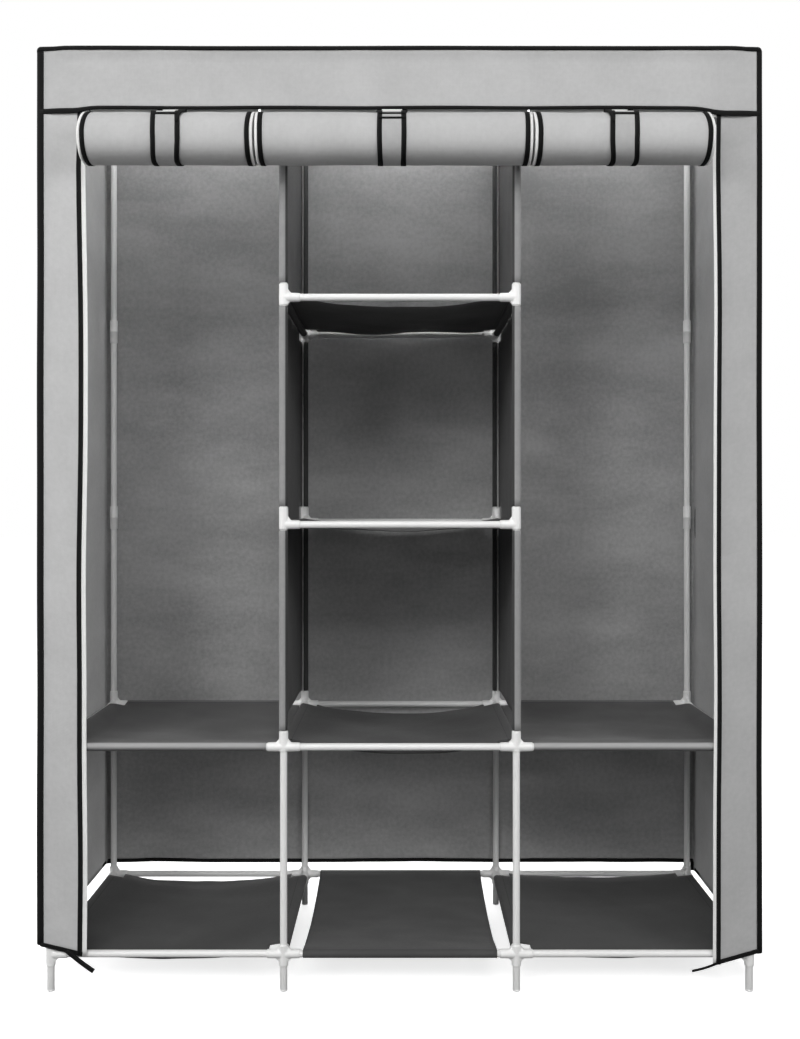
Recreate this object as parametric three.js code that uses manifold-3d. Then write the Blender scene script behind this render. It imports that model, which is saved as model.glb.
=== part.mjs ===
// Portable fabric wardrobe with three bays: a push-fit frame of thin steel tubes,
// a sewn non-woven cover with three roll-up doors, sling shelves and a walled
// centre tower. Millimetres, Z up, front towards -Y, standing on Z = 0.

import * as THREE from 'three';
import { mergeVertices } from 'three/addons/utils/BufferGeometryUtils.js';
import Module from 'manifold-3d';

const wasm = await Module();
wasm.setup();

// Overall sizes
const COVER_WIDTH = 1300;
const COVER_DEPTH = 450;
const COVER_HEIGHT = 1700;

// Frame tubes and their push-fit connectors
const POST_INSET_X = 20;
const POST_INSET_Y = 10;
const TUBE_R = 6.5;
const TUBE_WALL = 0.6;
const TUBE_SIDES = 8;
const SOCKET_R = 8.5;
const SOCKET_CLEAR = 0.3;
const SOCKET_FLOOR = 9.5;
const ARM_LENGTH = 30;
const SEAT_GAP = 0.3;
const COUPLER_R = 8.3;
const COUPLER_HEIGHT = 50;
const HANGER_SLEEVE = 44;
const FOOT_PLUG = 12;
const CUT_OVERRUN = 5;

// Heights of the rail axes and the sleeves of their connectors
const BOTTOM = { z: 67, up: 17, down: 22 };
const MIDDLE = { z: 440, up: 29, down: 8.5 };
const LOWER_TOWER = { z: 841, up: 32, down: 9 };
const UPPER_TOWER = { z: 1251, up: 25, down: 15 };
const TOP_SLEEVE_DROP = 45;
const LOWER_COUPLER_Z = 850;
const UPPER_COUPLER_Z = 1258;

// Cover cloth
const COVER_CLOTH = 1;
const SEAM_GAP = 0.3;
const VALANCE_HEIGHT = 111;
const HEM_Z = 85;
const LEFT_FLAP_WIDTH = 85;
const RIGHT_FLAP_WIDTH = 87;
const LEFT_FLAP_DROP = 20;
const RIGHT_FLAP_DROP = 35;

// Roll-up doors: each is wound outwards and tied up under the valance
const DOOR_CLOTH = 1;
const DOOR_CLEAR = 0.6;
const DOOR_HEM_Z = 62;
const ROLL_R = 45;
const ROLL_CORE_R = 8;
const ROLL_AXIS_Z = 1519;
const ROLL_STEPS = 12;
const ROLL_GAP = 4;
const LEFT_FLAP_GAP = 14;
const RIGHT_FLAP_GAP = 24;
const CENTRE_DOOR_PAST_LEFT_POST = 40;
const CENTRE_DOOR_PAST_RIGHT_POST = 19;
const LEFT_STRAP_OFFSET = 5.5;
const CENTRE_STRAP_OFFSET = -2.5;
const RIGHT_STRAP_OFFSET = -2.5;
const STRAP_WIDTH = 51;
const STRAP_CLOTH = 0.8;
const STRAP_END = { inset: 8, drop: 8 };

// Zip sliders on the free edges of the two flaps
const SLIDER = { width: 10, height: 14, depth: 4, drop: 24 };
const PULL = { width: 6, height: 30, thickness: 1.2 };

// Sling shelves and tower walls
const SHELF_CLOTH = 0.8;
const SLEEVE_CLEAR = 0.3;
const SHELF_SAG = 18;
const NOTCH_CLEAR = 1.2;
const EDGE_CLEAR = 2;
const BOTTOM_CENTRE_INSET = 35;
const WALL_CLOTH = 0.8;
const WALL_CLEAR = 0.4;
const WALL_TOP_GAP = 20;
const LOOP_STEPS = 9;
const SAG_STEPS = 8;
const LOOP_OPEN_ANGLE = THREE.MathUtils.degToRad(75);

// Sizes that follow from the ones above
const BAY_WIDTH = (COVER_WIDTH - 2 * POST_INSET_X) / 3;
const POST_SPAN = COVER_DEPTH - 2 * POST_INSET_Y;
const POST_XS = [-1.5 * BAY_WIDTH, -0.5 * BAY_WIDTH, 0.5 * BAY_WIDTH, 1.5 * BAY_WIDTH];
const OUTER_X = 1.5 * BAY_WIDTH;
const INNER_X = 0.5 * BAY_WIDTH;
const POST_Y = POST_SPAN / 2;
const BORE_R = TUBE_R - TUBE_WALL;
const SLEEVE_BORE_R = TUBE_R + SOCKET_CLEAR;
const SHELF_INSET = TUBE_R + EDGE_CLEAR;
const TOP_Z = COVER_HEIGHT - COVER_CLOTH - SEAM_GAP - SOCKET_R;
const COVER_FRONT_Y = -COVER_DEPTH / 2;
const VALANCE_FOOT_Z = COVER_HEIGHT - VALANCE_HEIGHT;
const CURTAIN_TOP_Z = VALANCE_FOOT_Z - SEAM_GAP;
const LEFT_DOOR_LOW = -COVER_WIDTH / 2 + LEFT_FLAP_WIDTH + LEFT_FLAP_GAP;
const RIGHT_DOOR_HIGH = COVER_WIDTH / 2 - RIGHT_FLAP_WIDTH - RIGHT_FLAP_GAP;
const CENTRE_DOOR_LOW = -INNER_X - CENTRE_DOOR_PAST_LEFT_POST;
const CENTRE_DOOR_HIGH = INNER_X + CENTRE_DOOR_PAST_RIGHT_POST;
const CURTAIN_Y = COVER_FRONT_Y - DOOR_CLEAR - DOOR_CLOTH / 2;
const ROLL_LINE_R = ROLL_R - DOOR_CLOTH / 2;
const ROLL_AXIS_Y = CURTAIN_Y - ROLL_LINE_R;
const ROLL_FRONT_Y = ROLL_AXIS_Y - ROLL_R;
const STRAP_R = ROLL_R + SEAM_GAP + STRAP_CLOTH / 2;
const CENTRING_Y = -(ROLL_FRONT_Y - STRAP_CLOTH - SEAM_GAP + COVER_DEPTH / 2) / 2;

// Colours
const TUBE_COLOUR = 0xf4f4f2;
const COVER_COLOUR = 0xb9b9b9;
const DOOR_COLOUR = 0xc4c4c4;
const STRAP_COLOUR = 0xa4a4a4;
const SHELF_COLOUR = 0x5a5a5a;
const WALL_COLOUR = 0x3c3c3c;
const SLIDER_COLOUR = 0x2a2a2a;

const AXES = { x: [1, 0, 0], y: [0, 1, 0], z: [0, 0, 1] };

// The doors' extents along X, and where the middle of each strap lies
function doorBetween(name, low, high, strapOffset) {
  return { name, low, high, strap: (low + high) / 2 + strapOffset };
}

const DOORS = [
  doorBetween('left', LEFT_DOOR_LOW, CENTRE_DOOR_LOW - ROLL_GAP, LEFT_STRAP_OFFSET),
  doorBetween('centre', CENTRE_DOOR_LOW, CENTRE_DOOR_HIGH, CENTRE_STRAP_OFFSET),
  doorBetween('right', CENTRE_DOOR_HIGH + ROLL_GAP, RIGHT_DOOR_HIGH, RIGHT_STRAP_OFFSET),
];

// Basic solids

function signedVolume(geometry) {
  const position = geometry.attributes.position;
  const index = geometry.index;
  const corners = [new THREE.Vector3(), new THREE.Vector3(), new THREE.Vector3()];
  let sum = 0;
  for (let i = 0; i < index.count; i += 3) {
    corners.forEach((corner, k) => corner.fromBufferAttribute(position, index.getX(i + k)));
    sum += corners[0].dot(corners[1].clone().cross(corners[2])) / 6;
  }
  return sum;
}

function closed(geometry) {
  geometry.deleteAttribute('normal');
  geometry.deleteAttribute('uv');
  const merged = mergeVertices(geometry);
  if (signedVolume(merged) < 0) {
    const index = merged.index;
    for (let i = 0; i < index.count; i += 3) {
      const second = index.getX(i + 1);
      index.setX(i + 1, index.getX(i + 2));
      index.setX(i + 2, second);
    }
  }
  return merged;
}

function toSolid(geometry) {
  const merged = closed(geometry);
  return new wasm.Manifold(new wasm.Mesh({
    numProp: 3,
    vertProperties: new Float32Array(merged.attributes.position.array),
    triVerts: new Uint32Array(merged.index.array),
  }));
}

function toGeometry(solid) {
  const mesh = solid.getMesh();
  const geometry = new THREE.BufferGeometry();
  geometry.setAttribute('position', new THREE.BufferAttribute(new Float32Array(mesh.vertProperties), 3));
  geometry.setIndex(new THREE.BufferAttribute(new Uint32Array(mesh.triVerts), 1));
  return geometry;
}

function joinAll(solids) {
  return solids.reduce((sum, solid) => sum.add(solid));
}

function cutAll(solid, tools) {
  return tools.reduce((rest, tool) => rest.subtract(tool), solid);
}

// A round bar along one axis, between two places on it, through the point (x, y, z)
function bar(radius, axis, from, to, [x, y, z]) {
  const geometry = new THREE.CylinderGeometry(radius, radius, Math.abs(to - from), TUBE_SIDES);
  if (axis === 'x') geometry.rotateZ(Math.PI / 2);
  if (axis === 'z') geometry.rotateX(Math.PI / 2);
  const along = new THREE.Vector3(...AXES[axis]).multiplyScalar((from + to) / 2);
  geometry.translate(x + along.x, y + along.y, z + along.z);
  return toSolid(geometry);
}

function block(low, high) {
  const size = high.map((value, k) => value - low[k]);
  const geometry = new THREE.BoxGeometry(...size);
  geometry.translate(...high.map((value, k) => (value + low[k]) / 2));
  return toSolid(geometry);
}

// Cloth: a sheet of even thickness swept from low to high across a flat path

function pathNormals(path) {
  return path.map((point, i) => {
    const before = path[Math.max(i - 1, 0)];
    const after = path[Math.min(i + 1, path.length - 1)];
    const into = point.clone().sub(before).normalize();
    const out = after.clone().sub(point).normalize();
    const tangent = into.add(out).normalize();
    return new THREE.Vector2(-tangent.y, tangent.x);
  });
}

function sweptSheet(path, thickness, low, high, place) {
  const normals = pathNormals(path);
  const positions = [];
  path.forEach((point, i) => {
    const left = point.clone().addScaledVector(normals[i], thickness / 2);
    const right = point.clone().addScaledVector(normals[i], -thickness / 2);
    [[left, low], [left, high], [right, high], [right, low]].forEach(([corner, across]) => {
      positions.push(...place(corner.x, corner.y, across));
    });
  });
  const faces = [];
  for (let i = 0; i + 1 < path.length; i += 1) {
    for (let k = 0; k < 4; k += 1) {
      const a = 4 * i + k;
      const b = 4 * i + (k + 1) % 4;
      faces.push(a, a + 4, b, b, a + 4, b + 4);
    }
  }
  const last = 4 * (path.length - 1);
  faces.push(0, 1, 2, 0, 2, 3, last, last + 2, last + 1, last, last + 3, last + 2);
  const geometry = new THREE.BufferGeometry();
  geometry.setAttribute('position', new THREE.BufferAttribute(new Float32Array(positions), 3));
  geometry.setIndex(faces);
  return geometry;
}

const ACROSS_X = (u, v, across) => [across, u, v];
const ACROSS_Y = (u, v, across) => [u, across, v];
const ACROSS_Z = (u, v, across) => [u, v, across];

function arc(centre, radius, from, to, steps) {
  return Array.from({ length: steps + 1 }, (_, i) => {
    const angle = from + (to - from) * i / steps;
    return new THREE.Vector2(centre.x + radius * Math.cos(angle), centre.y + radius * Math.sin(angle));
  });
}

// Frame

// A tube that stands on the floor on a plugged end, open at the top
function post(x, y, couplers) {
  const top = TOP_Z - SOCKET_R;
  const outline = [new THREE.Vector2(0, 0), new THREE.Vector2(TUBE_R, 0)];
  couplers.forEach((z) => {
    const low = z - COUPLER_HEIGHT / 2;
    const high = z + COUPLER_HEIGHT / 2;
    outline.push(new THREE.Vector2(TUBE_R, low), new THREE.Vector2(COUPLER_R, low));
    outline.push(new THREE.Vector2(COUPLER_R, high), new THREE.Vector2(TUBE_R, high));
  });
  outline.push(new THREE.Vector2(TUBE_R, top), new THREE.Vector2(BORE_R, top));
  outline.push(new THREE.Vector2(BORE_R, FOOT_PLUG), new THREE.Vector2(0, FOOT_PLUG));
  const geometry = new THREE.LatheGeometry(outline, TUBE_SIDES);
  geometry.rotateX(Math.PI / 2);
  geometry.translate(x, y, 0);
  return closed(geometry);
}

// One rail across the front or the back, with the connectors that it plugs into
function runSolids(level, side, columns) {
  const y = side * POST_Y;
  const first = columns[0];
  const last = columns[columns.length - 1];
  const outside = [bar(TUBE_R, 'x', first, last, [0, y, level.z])];
  const inside = [bar(BORE_R, 'x', first, last, [0, y, level.z])];
  columns.forEach((x) => {
    const low = x === first ? x : x - ARM_LENGTH;
    const high = x === last ? x : x + ARM_LENGTH;
    const seat = y - side * SOCKET_FLOOR;
    const tip = y - side * ARM_LENGTH;
    outside.push(bar(SOCKET_R, 'z', level.z - level.down, level.z + level.up, [x, y, 0]));
    outside.push(bar(SOCKET_R, 'x', low, high, [0, y, level.z]));
    outside.push(bar(SOCKET_R, 'y', y, tip, [x, 0, level.z]));
    inside.push(bar(SLEEVE_BORE_R, 'y', seat, tip - side * CUT_OVERRUN, [x, 0, level.z]));
  });
  return { outside, inside };
}

function run(level, side, columns) {
  const { outside, inside } = runSolids(level, side, columns);
  columns.forEach((x) => {
    const low = level.z - level.down - CUT_OVERRUN;
    const high = level.z + level.up + CUT_OVERRUN;
    inside.push(bar(SLEEVE_BORE_R, 'z', low, high, [x, side * POST_Y, 0]));
  });
  return toGeometry(cutAll(joinAll(outside), inside));
}

function openTube(axis, from, to, point) {
  const over = Math.sign(to - from) * CUT_OVERRUN;
  const outside = bar(TUBE_R, axis, from, to, point);
  return toGeometry(outside.subtract(bar(BORE_R, axis, from - over, to + over, point)));
}

function depthRail(x, z) {
  const end = POST_Y - SOCKET_FLOOR - SEAT_GAP;
  return openTube('y', -end, end, [x, 0, z]);
}

// The top frame: two long rails, four depth rails and the sockets of the hanging rails
function topFrame() {
  const level = { z: TOP_Z, up: 0, down: TOP_SLEEVE_DROP };
  const outside = [];
  const inside = [];
  [-1, 1].forEach((side) => {
    const solids = runSolids(level, side, POST_XS);
    outside.push(...solids.outside);
    inside.push(solids.inside[0]);
    POST_XS.forEach((x) => {
      outside.push(bar(SOCKET_R, 'y', side * POST_Y, side * (POST_Y - ARM_LENGTH), [x, 0, TOP_Z]));
      const mouth = TOP_Z - TOP_SLEEVE_DROP - CUT_OVERRUN;
      inside.push(bar(SLEEVE_BORE_R, 'z', mouth, TOP_Z - SOCKET_R + SEAT_GAP, [x, side * POST_Y, 0]));
      outside.push(bar(SOCKET_R, 'x', x, x - Math.sign(x) * ARM_LENGTH, [0, side * POST_Y, TOP_Z]));
    });
  });
  POST_XS.forEach((x) => {
    outside.push(bar(TUBE_R, 'y', -POST_Y, POST_Y, [x, 0, TOP_Z]));
    inside.push(bar(BORE_R, 'y', -POST_Y, POST_Y, [x, 0, TOP_Z]));
    const toBay = Math.sign(x) * (Math.abs(x) > INNER_X ? -1 : 1);
    const seat = x + toBay * SOCKET_FLOOR;
    const tip = x + toBay * ARM_LENGTH;
    outside.push(bar(SOCKET_R, 'y', -HANGER_SLEEVE / 2, HANGER_SLEEVE / 2, [x, 0, TOP_Z]));
    outside.push(bar(SOCKET_R, 'x', x, tip, [0, 0, TOP_Z]));
    inside.push(bar(SLEEVE_BORE_R, 'x', seat, tip + toBay * CUT_OVERRUN, [0, 0, TOP_Z]));
  });
  return toGeometry(cutAll(joinAll(outside), inside));
}

function hangingRail(sign) {
  const near = sign * (INNER_X + SOCKET_FLOOR + SEAT_GAP);
  const far = sign * (OUTER_X - SOCKET_FLOOR - SEAT_GAP);
  return openTube('x', Math.min(near, far), Math.max(near, far), [0, 0, TOP_Z]);
}

// Sling shelves: a sheet that is wrapped round two rails and sags between them

function slingPath(half, z) {
  const radius = TUBE_R + SLEEVE_CLEAR + SHELF_CLOTH / 2;
  const left = arc(new THREE.Vector2(-half, z), radius, 0, -1.5 * Math.PI, LOOP_STEPS);
  const right = arc(new THREE.Vector2(half, z), radius, 0.5 * Math.PI, -Math.PI, LOOP_STEPS);
  const middle = Array.from({ length: SAG_STEPS - 1 }, (_, i) => {
    const share = 2 * (i + 1) / SAG_STEPS - 1;
    return new THREE.Vector2(share * half, z + radius - SHELF_SAG * (1 - share * share));
  });
  return [...left, ...middle, ...right];
}

function notches(xLow, xHigh, z) {
  const reach = ARM_LENGTH + NOTCH_CLEAR;
  const boxes = [];
  [xLow, xHigh].forEach((x) => [-1, 1].forEach((side) => {
    const y = side * POST_Y;
    boxes.push(block(
      [x - reach, y - reach, z - SHELF_SAG - SOCKET_R],
      [x + reach, y + reach, z + SHELF_SAG + SOCKET_R],
    ));
  }));
  return boxes;
}

function shelfOnDepthRails(xLow, xHigh, z) {
  const half = (xHigh - xLow) / 2;
  const centre = (xHigh + xLow) / 2;
  const edge = POST_Y - TUBE_R - EDGE_CLEAR;
  const sheet = sweptSheet(slingPath(half, z), SHELF_CLOTH, -edge, edge, ACROSS_Y);
  sheet.translate(centre, 0, 0);
  return toGeometry(cutAll(toSolid(sheet), notches(xLow, xHigh, z)));
}

function shelfOnLongRails(xLow, xHigh, z, inset) {
  const sheet = sweptSheet(slingPath(POST_Y, z), SHELF_CLOTH, xLow + inset, xHigh - inset, ACROSS_X);
  return toGeometry(cutAll(toSolid(sheet), notches(xLow, xHigh, z)));
}

// Tower walls: a sheet from the front post to the back post, sleeved on both

function towerWall(sign) {
  const radius = TUBE_R + SLEEVE_CLEAR + WALL_CLOTH / 2;
  const plane = SOCKET_R + WALL_CLEAR + WALL_CLOTH / 2;
  const straight = POST_Y - ARM_LENGTH;
  const front = arc(new THREE.Vector2(0, -POST_Y), radius, LOOP_OPEN_ANGLE, 2 * Math.PI, LOOP_STEPS);
  const back = arc(new THREE.Vector2(0, POST_Y), radius, 0, 2 * Math.PI - LOOP_OPEN_ANGLE, LOOP_STEPS);
  const path = [...front, new THREE.Vector2(plane, -straight), new THREE.Vector2(plane, straight), ...back];
  const mirrored = path.map((point) => new THREE.Vector2(sign * (INNER_X + point.x), point.y));
  const low = MIDDLE.z + MIDDLE.up + NOTCH_CLEAR;
  const high = TOP_Z - WALL_TOP_GAP;
  const sheet = toSolid(sweptSheet(mirrored, WALL_CLOTH, low, high, ACROSS_Z));
  const cuts = [];
  const bands = [LOWER_TOWER, UPPER_TOWER].map((level) => [level.z - level.down, level.z + level.up]);
  bands.push([TOP_Z - TOP_SLEEVE_DROP, TOP_Z]);
  bands.forEach(([from, to]) => [-1, 1].forEach((side) => {
    const x = sign * INNER_X;
    const y = side * POST_Y;
    const reach = ARM_LENGTH + NOTCH_CLEAR;
    cuts.push(block(
      [x - reach, y - reach, from - NOTCH_CLEAR],
      [x + reach, y + reach, to + NOTCH_CLEAR],
    ));
  }));
  return toGeometry(cutAll(sheet, cuts));
}

// Cover

function panel(low, high) {
  return toGeometry(block(low, high));
}

function topPanel() {
  const x = COVER_WIDTH / 2;
  const y = COVER_DEPTH / 2;
  return panel([-x, -y, COVER_HEIGHT - COVER_CLOTH], [x, y, COVER_HEIGHT]);
}

function frontValance() {
  const x = COVER_WIDTH / 2;
  const top = COVER_HEIGHT - COVER_CLOTH - SEAM_GAP;
  return panel([-x, COVER_FRONT_Y, VALANCE_FOOT_Z], [x, COVER_FRONT_Y + COVER_CLOTH, top]);
}

function backPanel() {
  const x = COVER_WIDTH / 2;
  const y = COVER_DEPTH / 2;
  const top = COVER_HEIGHT - COVER_CLOTH - SEAM_GAP;
  return panel([-x, y - COVER_CLOTH, HEM_Z], [x, y, top]);
}

function sidePanel(sign) {
  const outer = COVER_WIDTH / 2;
  const inner = outer - COVER_CLOTH;
  const y = COVER_DEPTH / 2 - COVER_CLOTH - SEAM_GAP;
  const top = COVER_HEIGHT - COVER_CLOTH - SEAM_GAP;
  const low = Math.min(sign * outer, sign * inner);
  const high = Math.max(sign * outer, sign * inner);
  return panel([low, -y, HEM_Z], [high, y, top]);
}

function frontFlap(sign, width, drop) {
  const outer = COVER_WIDTH / 2;
  const inner = outer - width;
  const shape = new THREE.Shape();
  shape.moveTo(sign * outer, HEM_Z);
  shape.lineTo(sign * inner, HEM_Z - drop);
  shape.lineTo(sign * inner, CURTAIN_TOP_Z);
  shape.lineTo(sign * outer, CURTAIN_TOP_Z);
  const geometry = new THREE.ExtrudeGeometry(shape, { depth: COVER_CLOTH, bevelEnabled: false });
  geometry.rotateX(Math.PI / 2);
  geometry.translate(0, COVER_FRONT_Y + COVER_CLOTH, 0);
  return closed(geometry);
}

// Doors

// The wound length fixes the turns: a spiral from one radius to another has their mean radius
function rollPath() {
  const length = ROLL_AXIS_Z - DOOR_HEM_Z;
  const turns = length / (Math.PI * (ROLL_LINE_R + ROLL_CORE_R));
  const steps = Math.round(turns * ROLL_STEPS);
  return Array.from({ length: steps + 1 }, (_, i) => {
    const share = i / steps;
    const radius = ROLL_LINE_R + (ROLL_CORE_R - ROLL_LINE_R) * share;
    const angle = -2 * Math.PI * turns * share;
    const y = ROLL_AXIS_Y + radius * Math.cos(angle);
    return new THREE.Vector2(y, ROLL_AXIS_Z + radius * Math.sin(angle));
  });
}

function leastRollGap(path) {
  let least = Infinity;
  path.forEach((point, i) => {
    for (let k = i + Math.round(ROLL_STEPS / 2); k + 1 < path.length; k += 1) {
      const line = new THREE.Line3(
        new THREE.Vector3(path[k].x, path[k].y, 0),
        new THREE.Vector3(path[k + 1].x, path[k + 1].y, 0),
      );
      const here = new THREE.Vector3(point.x, point.y, 0);
      const nearest = line.closestPointToPoint(here, true, new THREE.Vector3());
      least = Math.min(least, nearest.distanceTo(here) - DOOR_CLOTH);
    }
  });
  return least;
}

function doorRoll(door) {
  return closed(sweptSheet(rollPath(), DOOR_CLOTH, door.low, door.high, ACROSS_X));
}

function doorCurtain(door) {
  const half = DOOR_CLOTH / 2;
  const foot = ROLL_AXIS_Z + SEAM_GAP;
  return panel([door.low, CURTAIN_Y - half, foot], [door.high, CURTAIN_Y + half, CURTAIN_TOP_Z]);
}

// The strap runs down behind the roll, under it and up its front to the fastener
function doorStrap(door) {
  const centre = new THREE.Vector2(ROLL_AXIS_Y, ROLL_AXIS_Z);
  const round = arc(centre, STRAP_R, 0, -1.5 * Math.PI, 2 * LOOP_STEPS);
  const start = new THREE.Vector2(ROLL_AXIS_Y + STRAP_R, CURTAIN_TOP_Z);
  const end = new THREE.Vector2(COVER_FRONT_Y - STRAP_END.inset, CURTAIN_TOP_Z - STRAP_END.drop);
  const low = door.strap - STRAP_WIDTH / 2;
  const path = [start, ...round, end];
  return closed(sweptSheet(path, STRAP_CLOTH, low, low + STRAP_WIDTH, ACROSS_X));
}

function zipSlider(x) {
  const z = CURTAIN_TOP_Z - SLIDER.drop;
  const back = COVER_FRONT_Y - SEAM_GAP;
  const front = back - SLIDER.depth;
  const body = block(
    [x - SLIDER.width / 2, front, z - SLIDER.height / 2],
    [x + SLIDER.width / 2, back, z + SLIDER.height / 2],
  );
  const pull = block(
    [x - PULL.width / 2, front - PULL.thickness, z - PULL.height],
    [x + PULL.width / 2, front, z],
  );
  const neck = block(
    [x - PULL.width / 2, front - PULL.thickness / 2, z - PULL.width / 2],
    [x + PULL.width / 2, front + SLIDER.depth / 2, z],
  );
  return toGeometry(body.add(pull).add(neck));
}

// Assembly

const wardrobe = new THREE.Group();
wardrobe.name = 'portable_fabric_wardrobe';
wardrobe.position.y = CENTRING_Y;

function place(name, geometry, colour, roughness, metalness) {
  const material = new THREE.MeshStandardMaterial({ color: colour, roughness, metalness });
  const mesh = new THREE.Mesh(geometry, material);
  mesh.name = name;
  geometry.computeVertexNormals();
  wardrobe.add(mesh);
}

function placeTube(name, geometry) {
  place(name, geometry, TUBE_COLOUR, 0.35, 0.1);
}

function placeCloth(name, geometry, colour) {
  place(name, geometry, colour, 0.95, 0);
}

const POST_NAMES = ['left_outer', 'left_inner', 'right_inner', 'right_outer'];
const SIDE_NAMES = [['front', -1], ['back', 1]];
const TOWER_XS = [-INNER_X, INNER_X];

SIDE_NAMES.forEach(([sideName, side]) => {
  POST_XS.forEach((x, i) => {
    const couplers = Math.abs(x) > INNER_X ? [LOWER_COUPLER_Z, UPPER_COUPLER_Z] : [];
    placeTube(`${POST_NAMES[i]}_${sideName}_post`, post(x, side * POST_Y, couplers));
  });
  placeTube(`bottom_${sideName}_rail`, run(BOTTOM, side, POST_XS));
  placeTube(`middle_${sideName}_rail`, run(MIDDLE, side, POST_XS));
  placeTube(`lower_tower_${sideName}_rail`, run(LOWER_TOWER, side, TOWER_XS));
  placeTube(`upper_tower_${sideName}_rail`, run(UPPER_TOWER, side, TOWER_XS));
});

POST_XS.forEach((x, i) => {
  placeTube(`bottom_${POST_NAMES[i]}_depth_rail`, depthRail(x, BOTTOM.z));
  placeTube(`middle_${POST_NAMES[i]}_depth_rail`, depthRail(x, MIDDLE.z));
});
[['left', -1], ['right', 1]].forEach(([name, sign]) => {
  placeTube(`lower_tower_${name}_depth_rail`, depthRail(sign * INNER_X, LOWER_TOWER.z));
  placeTube(`upper_tower_${name}_depth_rail`, depthRail(sign * INNER_X, UPPER_TOWER.z));
  placeTube(`${name}_hanging_rail`, hangingRail(sign));
  placeCloth(`${name}_tower_wall`, towerWall(sign), WALL_COLOUR);
  placeCloth(`${name}_side_panel`, sidePanel(sign), COVER_COLOUR);
});
placeTube('top_frame', topFrame());

placeCloth('bottom_left_shelf', shelfOnDepthRails(-OUTER_X, -INNER_X, BOTTOM.z), SHELF_COLOUR);
placeCloth('bottom_centre_shelf', shelfOnLongRails(-INNER_X, INNER_X, BOTTOM.z, BOTTOM_CENTRE_INSET), SHELF_COLOUR);
placeCloth('bottom_right_shelf', shelfOnDepthRails(INNER_X, OUTER_X, BOTTOM.z), SHELF_COLOUR);
placeCloth('middle_left_shelf', shelfOnLongRails(-OUTER_X, -INNER_X, MIDDLE.z, SHELF_INSET), SHELF_COLOUR);
placeCloth('middle_centre_shelf', shelfOnDepthRails(-INNER_X, INNER_X, MIDDLE.z), SHELF_COLOUR);
placeCloth('middle_right_shelf', shelfOnLongRails(INNER_X, OUTER_X, MIDDLE.z, SHELF_INSET), SHELF_COLOUR);
placeCloth('lower_tower_shelf', shelfOnDepthRails(-INNER_X, INNER_X, LOWER_TOWER.z), SHELF_COLOUR);
placeCloth('upper_tower_shelf', shelfOnDepthRails(-INNER_X, INNER_X, UPPER_TOWER.z), SHELF_COLOUR);

placeCloth('top_panel', topPanel(), COVER_COLOUR);
placeCloth('front_valance', frontValance(), COVER_COLOUR);
placeCloth('back_panel', backPanel(), COVER_COLOUR);
placeCloth('left_front_flap', frontFlap(-1, LEFT_FLAP_WIDTH, LEFT_FLAP_DROP), COVER_COLOUR);
placeCloth('right_front_flap', frontFlap(1, RIGHT_FLAP_WIDTH, RIGHT_FLAP_DROP), COVER_COLOUR);

DOORS.forEach((door) => {
  placeCloth(`${door.name}_door_roll`, doorRoll(door), DOOR_COLOUR);
  placeCloth(`${door.name}_door_curtain`, doorCurtain(door), DOOR_COLOUR);
  placeCloth(`${door.name}_door_strap`, doorStrap(door), STRAP_COLOUR);
});
place('left_zip_slider', zipSlider(LEFT_FLAP_WIDTH - COVER_WIDTH / 2), SLIDER_COLOUR, 0.4, 0.8);
place('right_zip_slider', zipSlider(COVER_WIDTH / 2 - RIGHT_FLAP_WIDTH), SLIDER_COLOUR, 0.4, 0.8);

console.log('least gap between the turns of a door roll, mm:', leastRollGap(rollPath()).toFixed(2));

export default wardrobe;
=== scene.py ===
import math

import bpy
import numpy as np
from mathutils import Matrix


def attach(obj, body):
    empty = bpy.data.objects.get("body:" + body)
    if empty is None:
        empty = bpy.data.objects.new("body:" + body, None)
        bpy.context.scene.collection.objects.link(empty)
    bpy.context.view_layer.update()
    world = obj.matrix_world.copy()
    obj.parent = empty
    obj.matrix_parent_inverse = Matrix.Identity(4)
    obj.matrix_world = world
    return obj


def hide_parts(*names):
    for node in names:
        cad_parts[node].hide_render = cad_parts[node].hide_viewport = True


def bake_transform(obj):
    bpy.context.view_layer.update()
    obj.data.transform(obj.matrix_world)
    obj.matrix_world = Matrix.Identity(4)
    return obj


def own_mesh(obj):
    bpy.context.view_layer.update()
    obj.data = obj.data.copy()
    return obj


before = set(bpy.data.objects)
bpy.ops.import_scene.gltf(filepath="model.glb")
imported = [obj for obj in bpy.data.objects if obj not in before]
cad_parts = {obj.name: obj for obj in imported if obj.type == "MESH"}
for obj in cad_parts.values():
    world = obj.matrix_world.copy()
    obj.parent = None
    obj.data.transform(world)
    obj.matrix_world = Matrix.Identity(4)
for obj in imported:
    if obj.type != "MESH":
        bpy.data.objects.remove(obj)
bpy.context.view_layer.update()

# Camera, lamps and floor
# The photograph is taken from straight in front, level with the middle of the tower,
# under a broad soft light from above, on white paper.
CAMERA_AT = (0.0036, -2.13815, 0.871)
CAMERA_LENS = 37.8
CAMERA_SHIFT = (-0.0019, -0.0111)


def linear(hex_colour):
    """An sRGB hex value such as 'c8c8c8' as linear red, green, blue and an alpha of 1: c / 12.92 up to 0.04045, and
    ((c + 0.055) / 1.055)^2.4 above it."""
    channels = [int(hex_colour[i:i + 2], 16) / 255 for i in (0, 2, 4)]
    return (*[c / 12.92 if c <= 0.04045 else ((c + 0.055) / 1.055) ** 2.4 for c in channels], 1.0)


def add_node(tree, kind, inputs=None, **settings):
    """Adds one shader node. settings are its properties; inputs are values for its sockets, or sockets to link to, or
    nodes whose first output is linked to."""
    node = tree.nodes.new("ShaderNode" + kind)
    for key, value in settings.items():
        setattr(node, key, value)
    for key, value in (inputs or {}).items():
        if isinstance(value, bpy.types.Node):
            value = value.outputs[0]
        if isinstance(value, bpy.types.NodeSocket):
            tree.links.new(value, node.inputs[key])
        else:
            node.inputs[key].default_value = value
    return node


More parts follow.
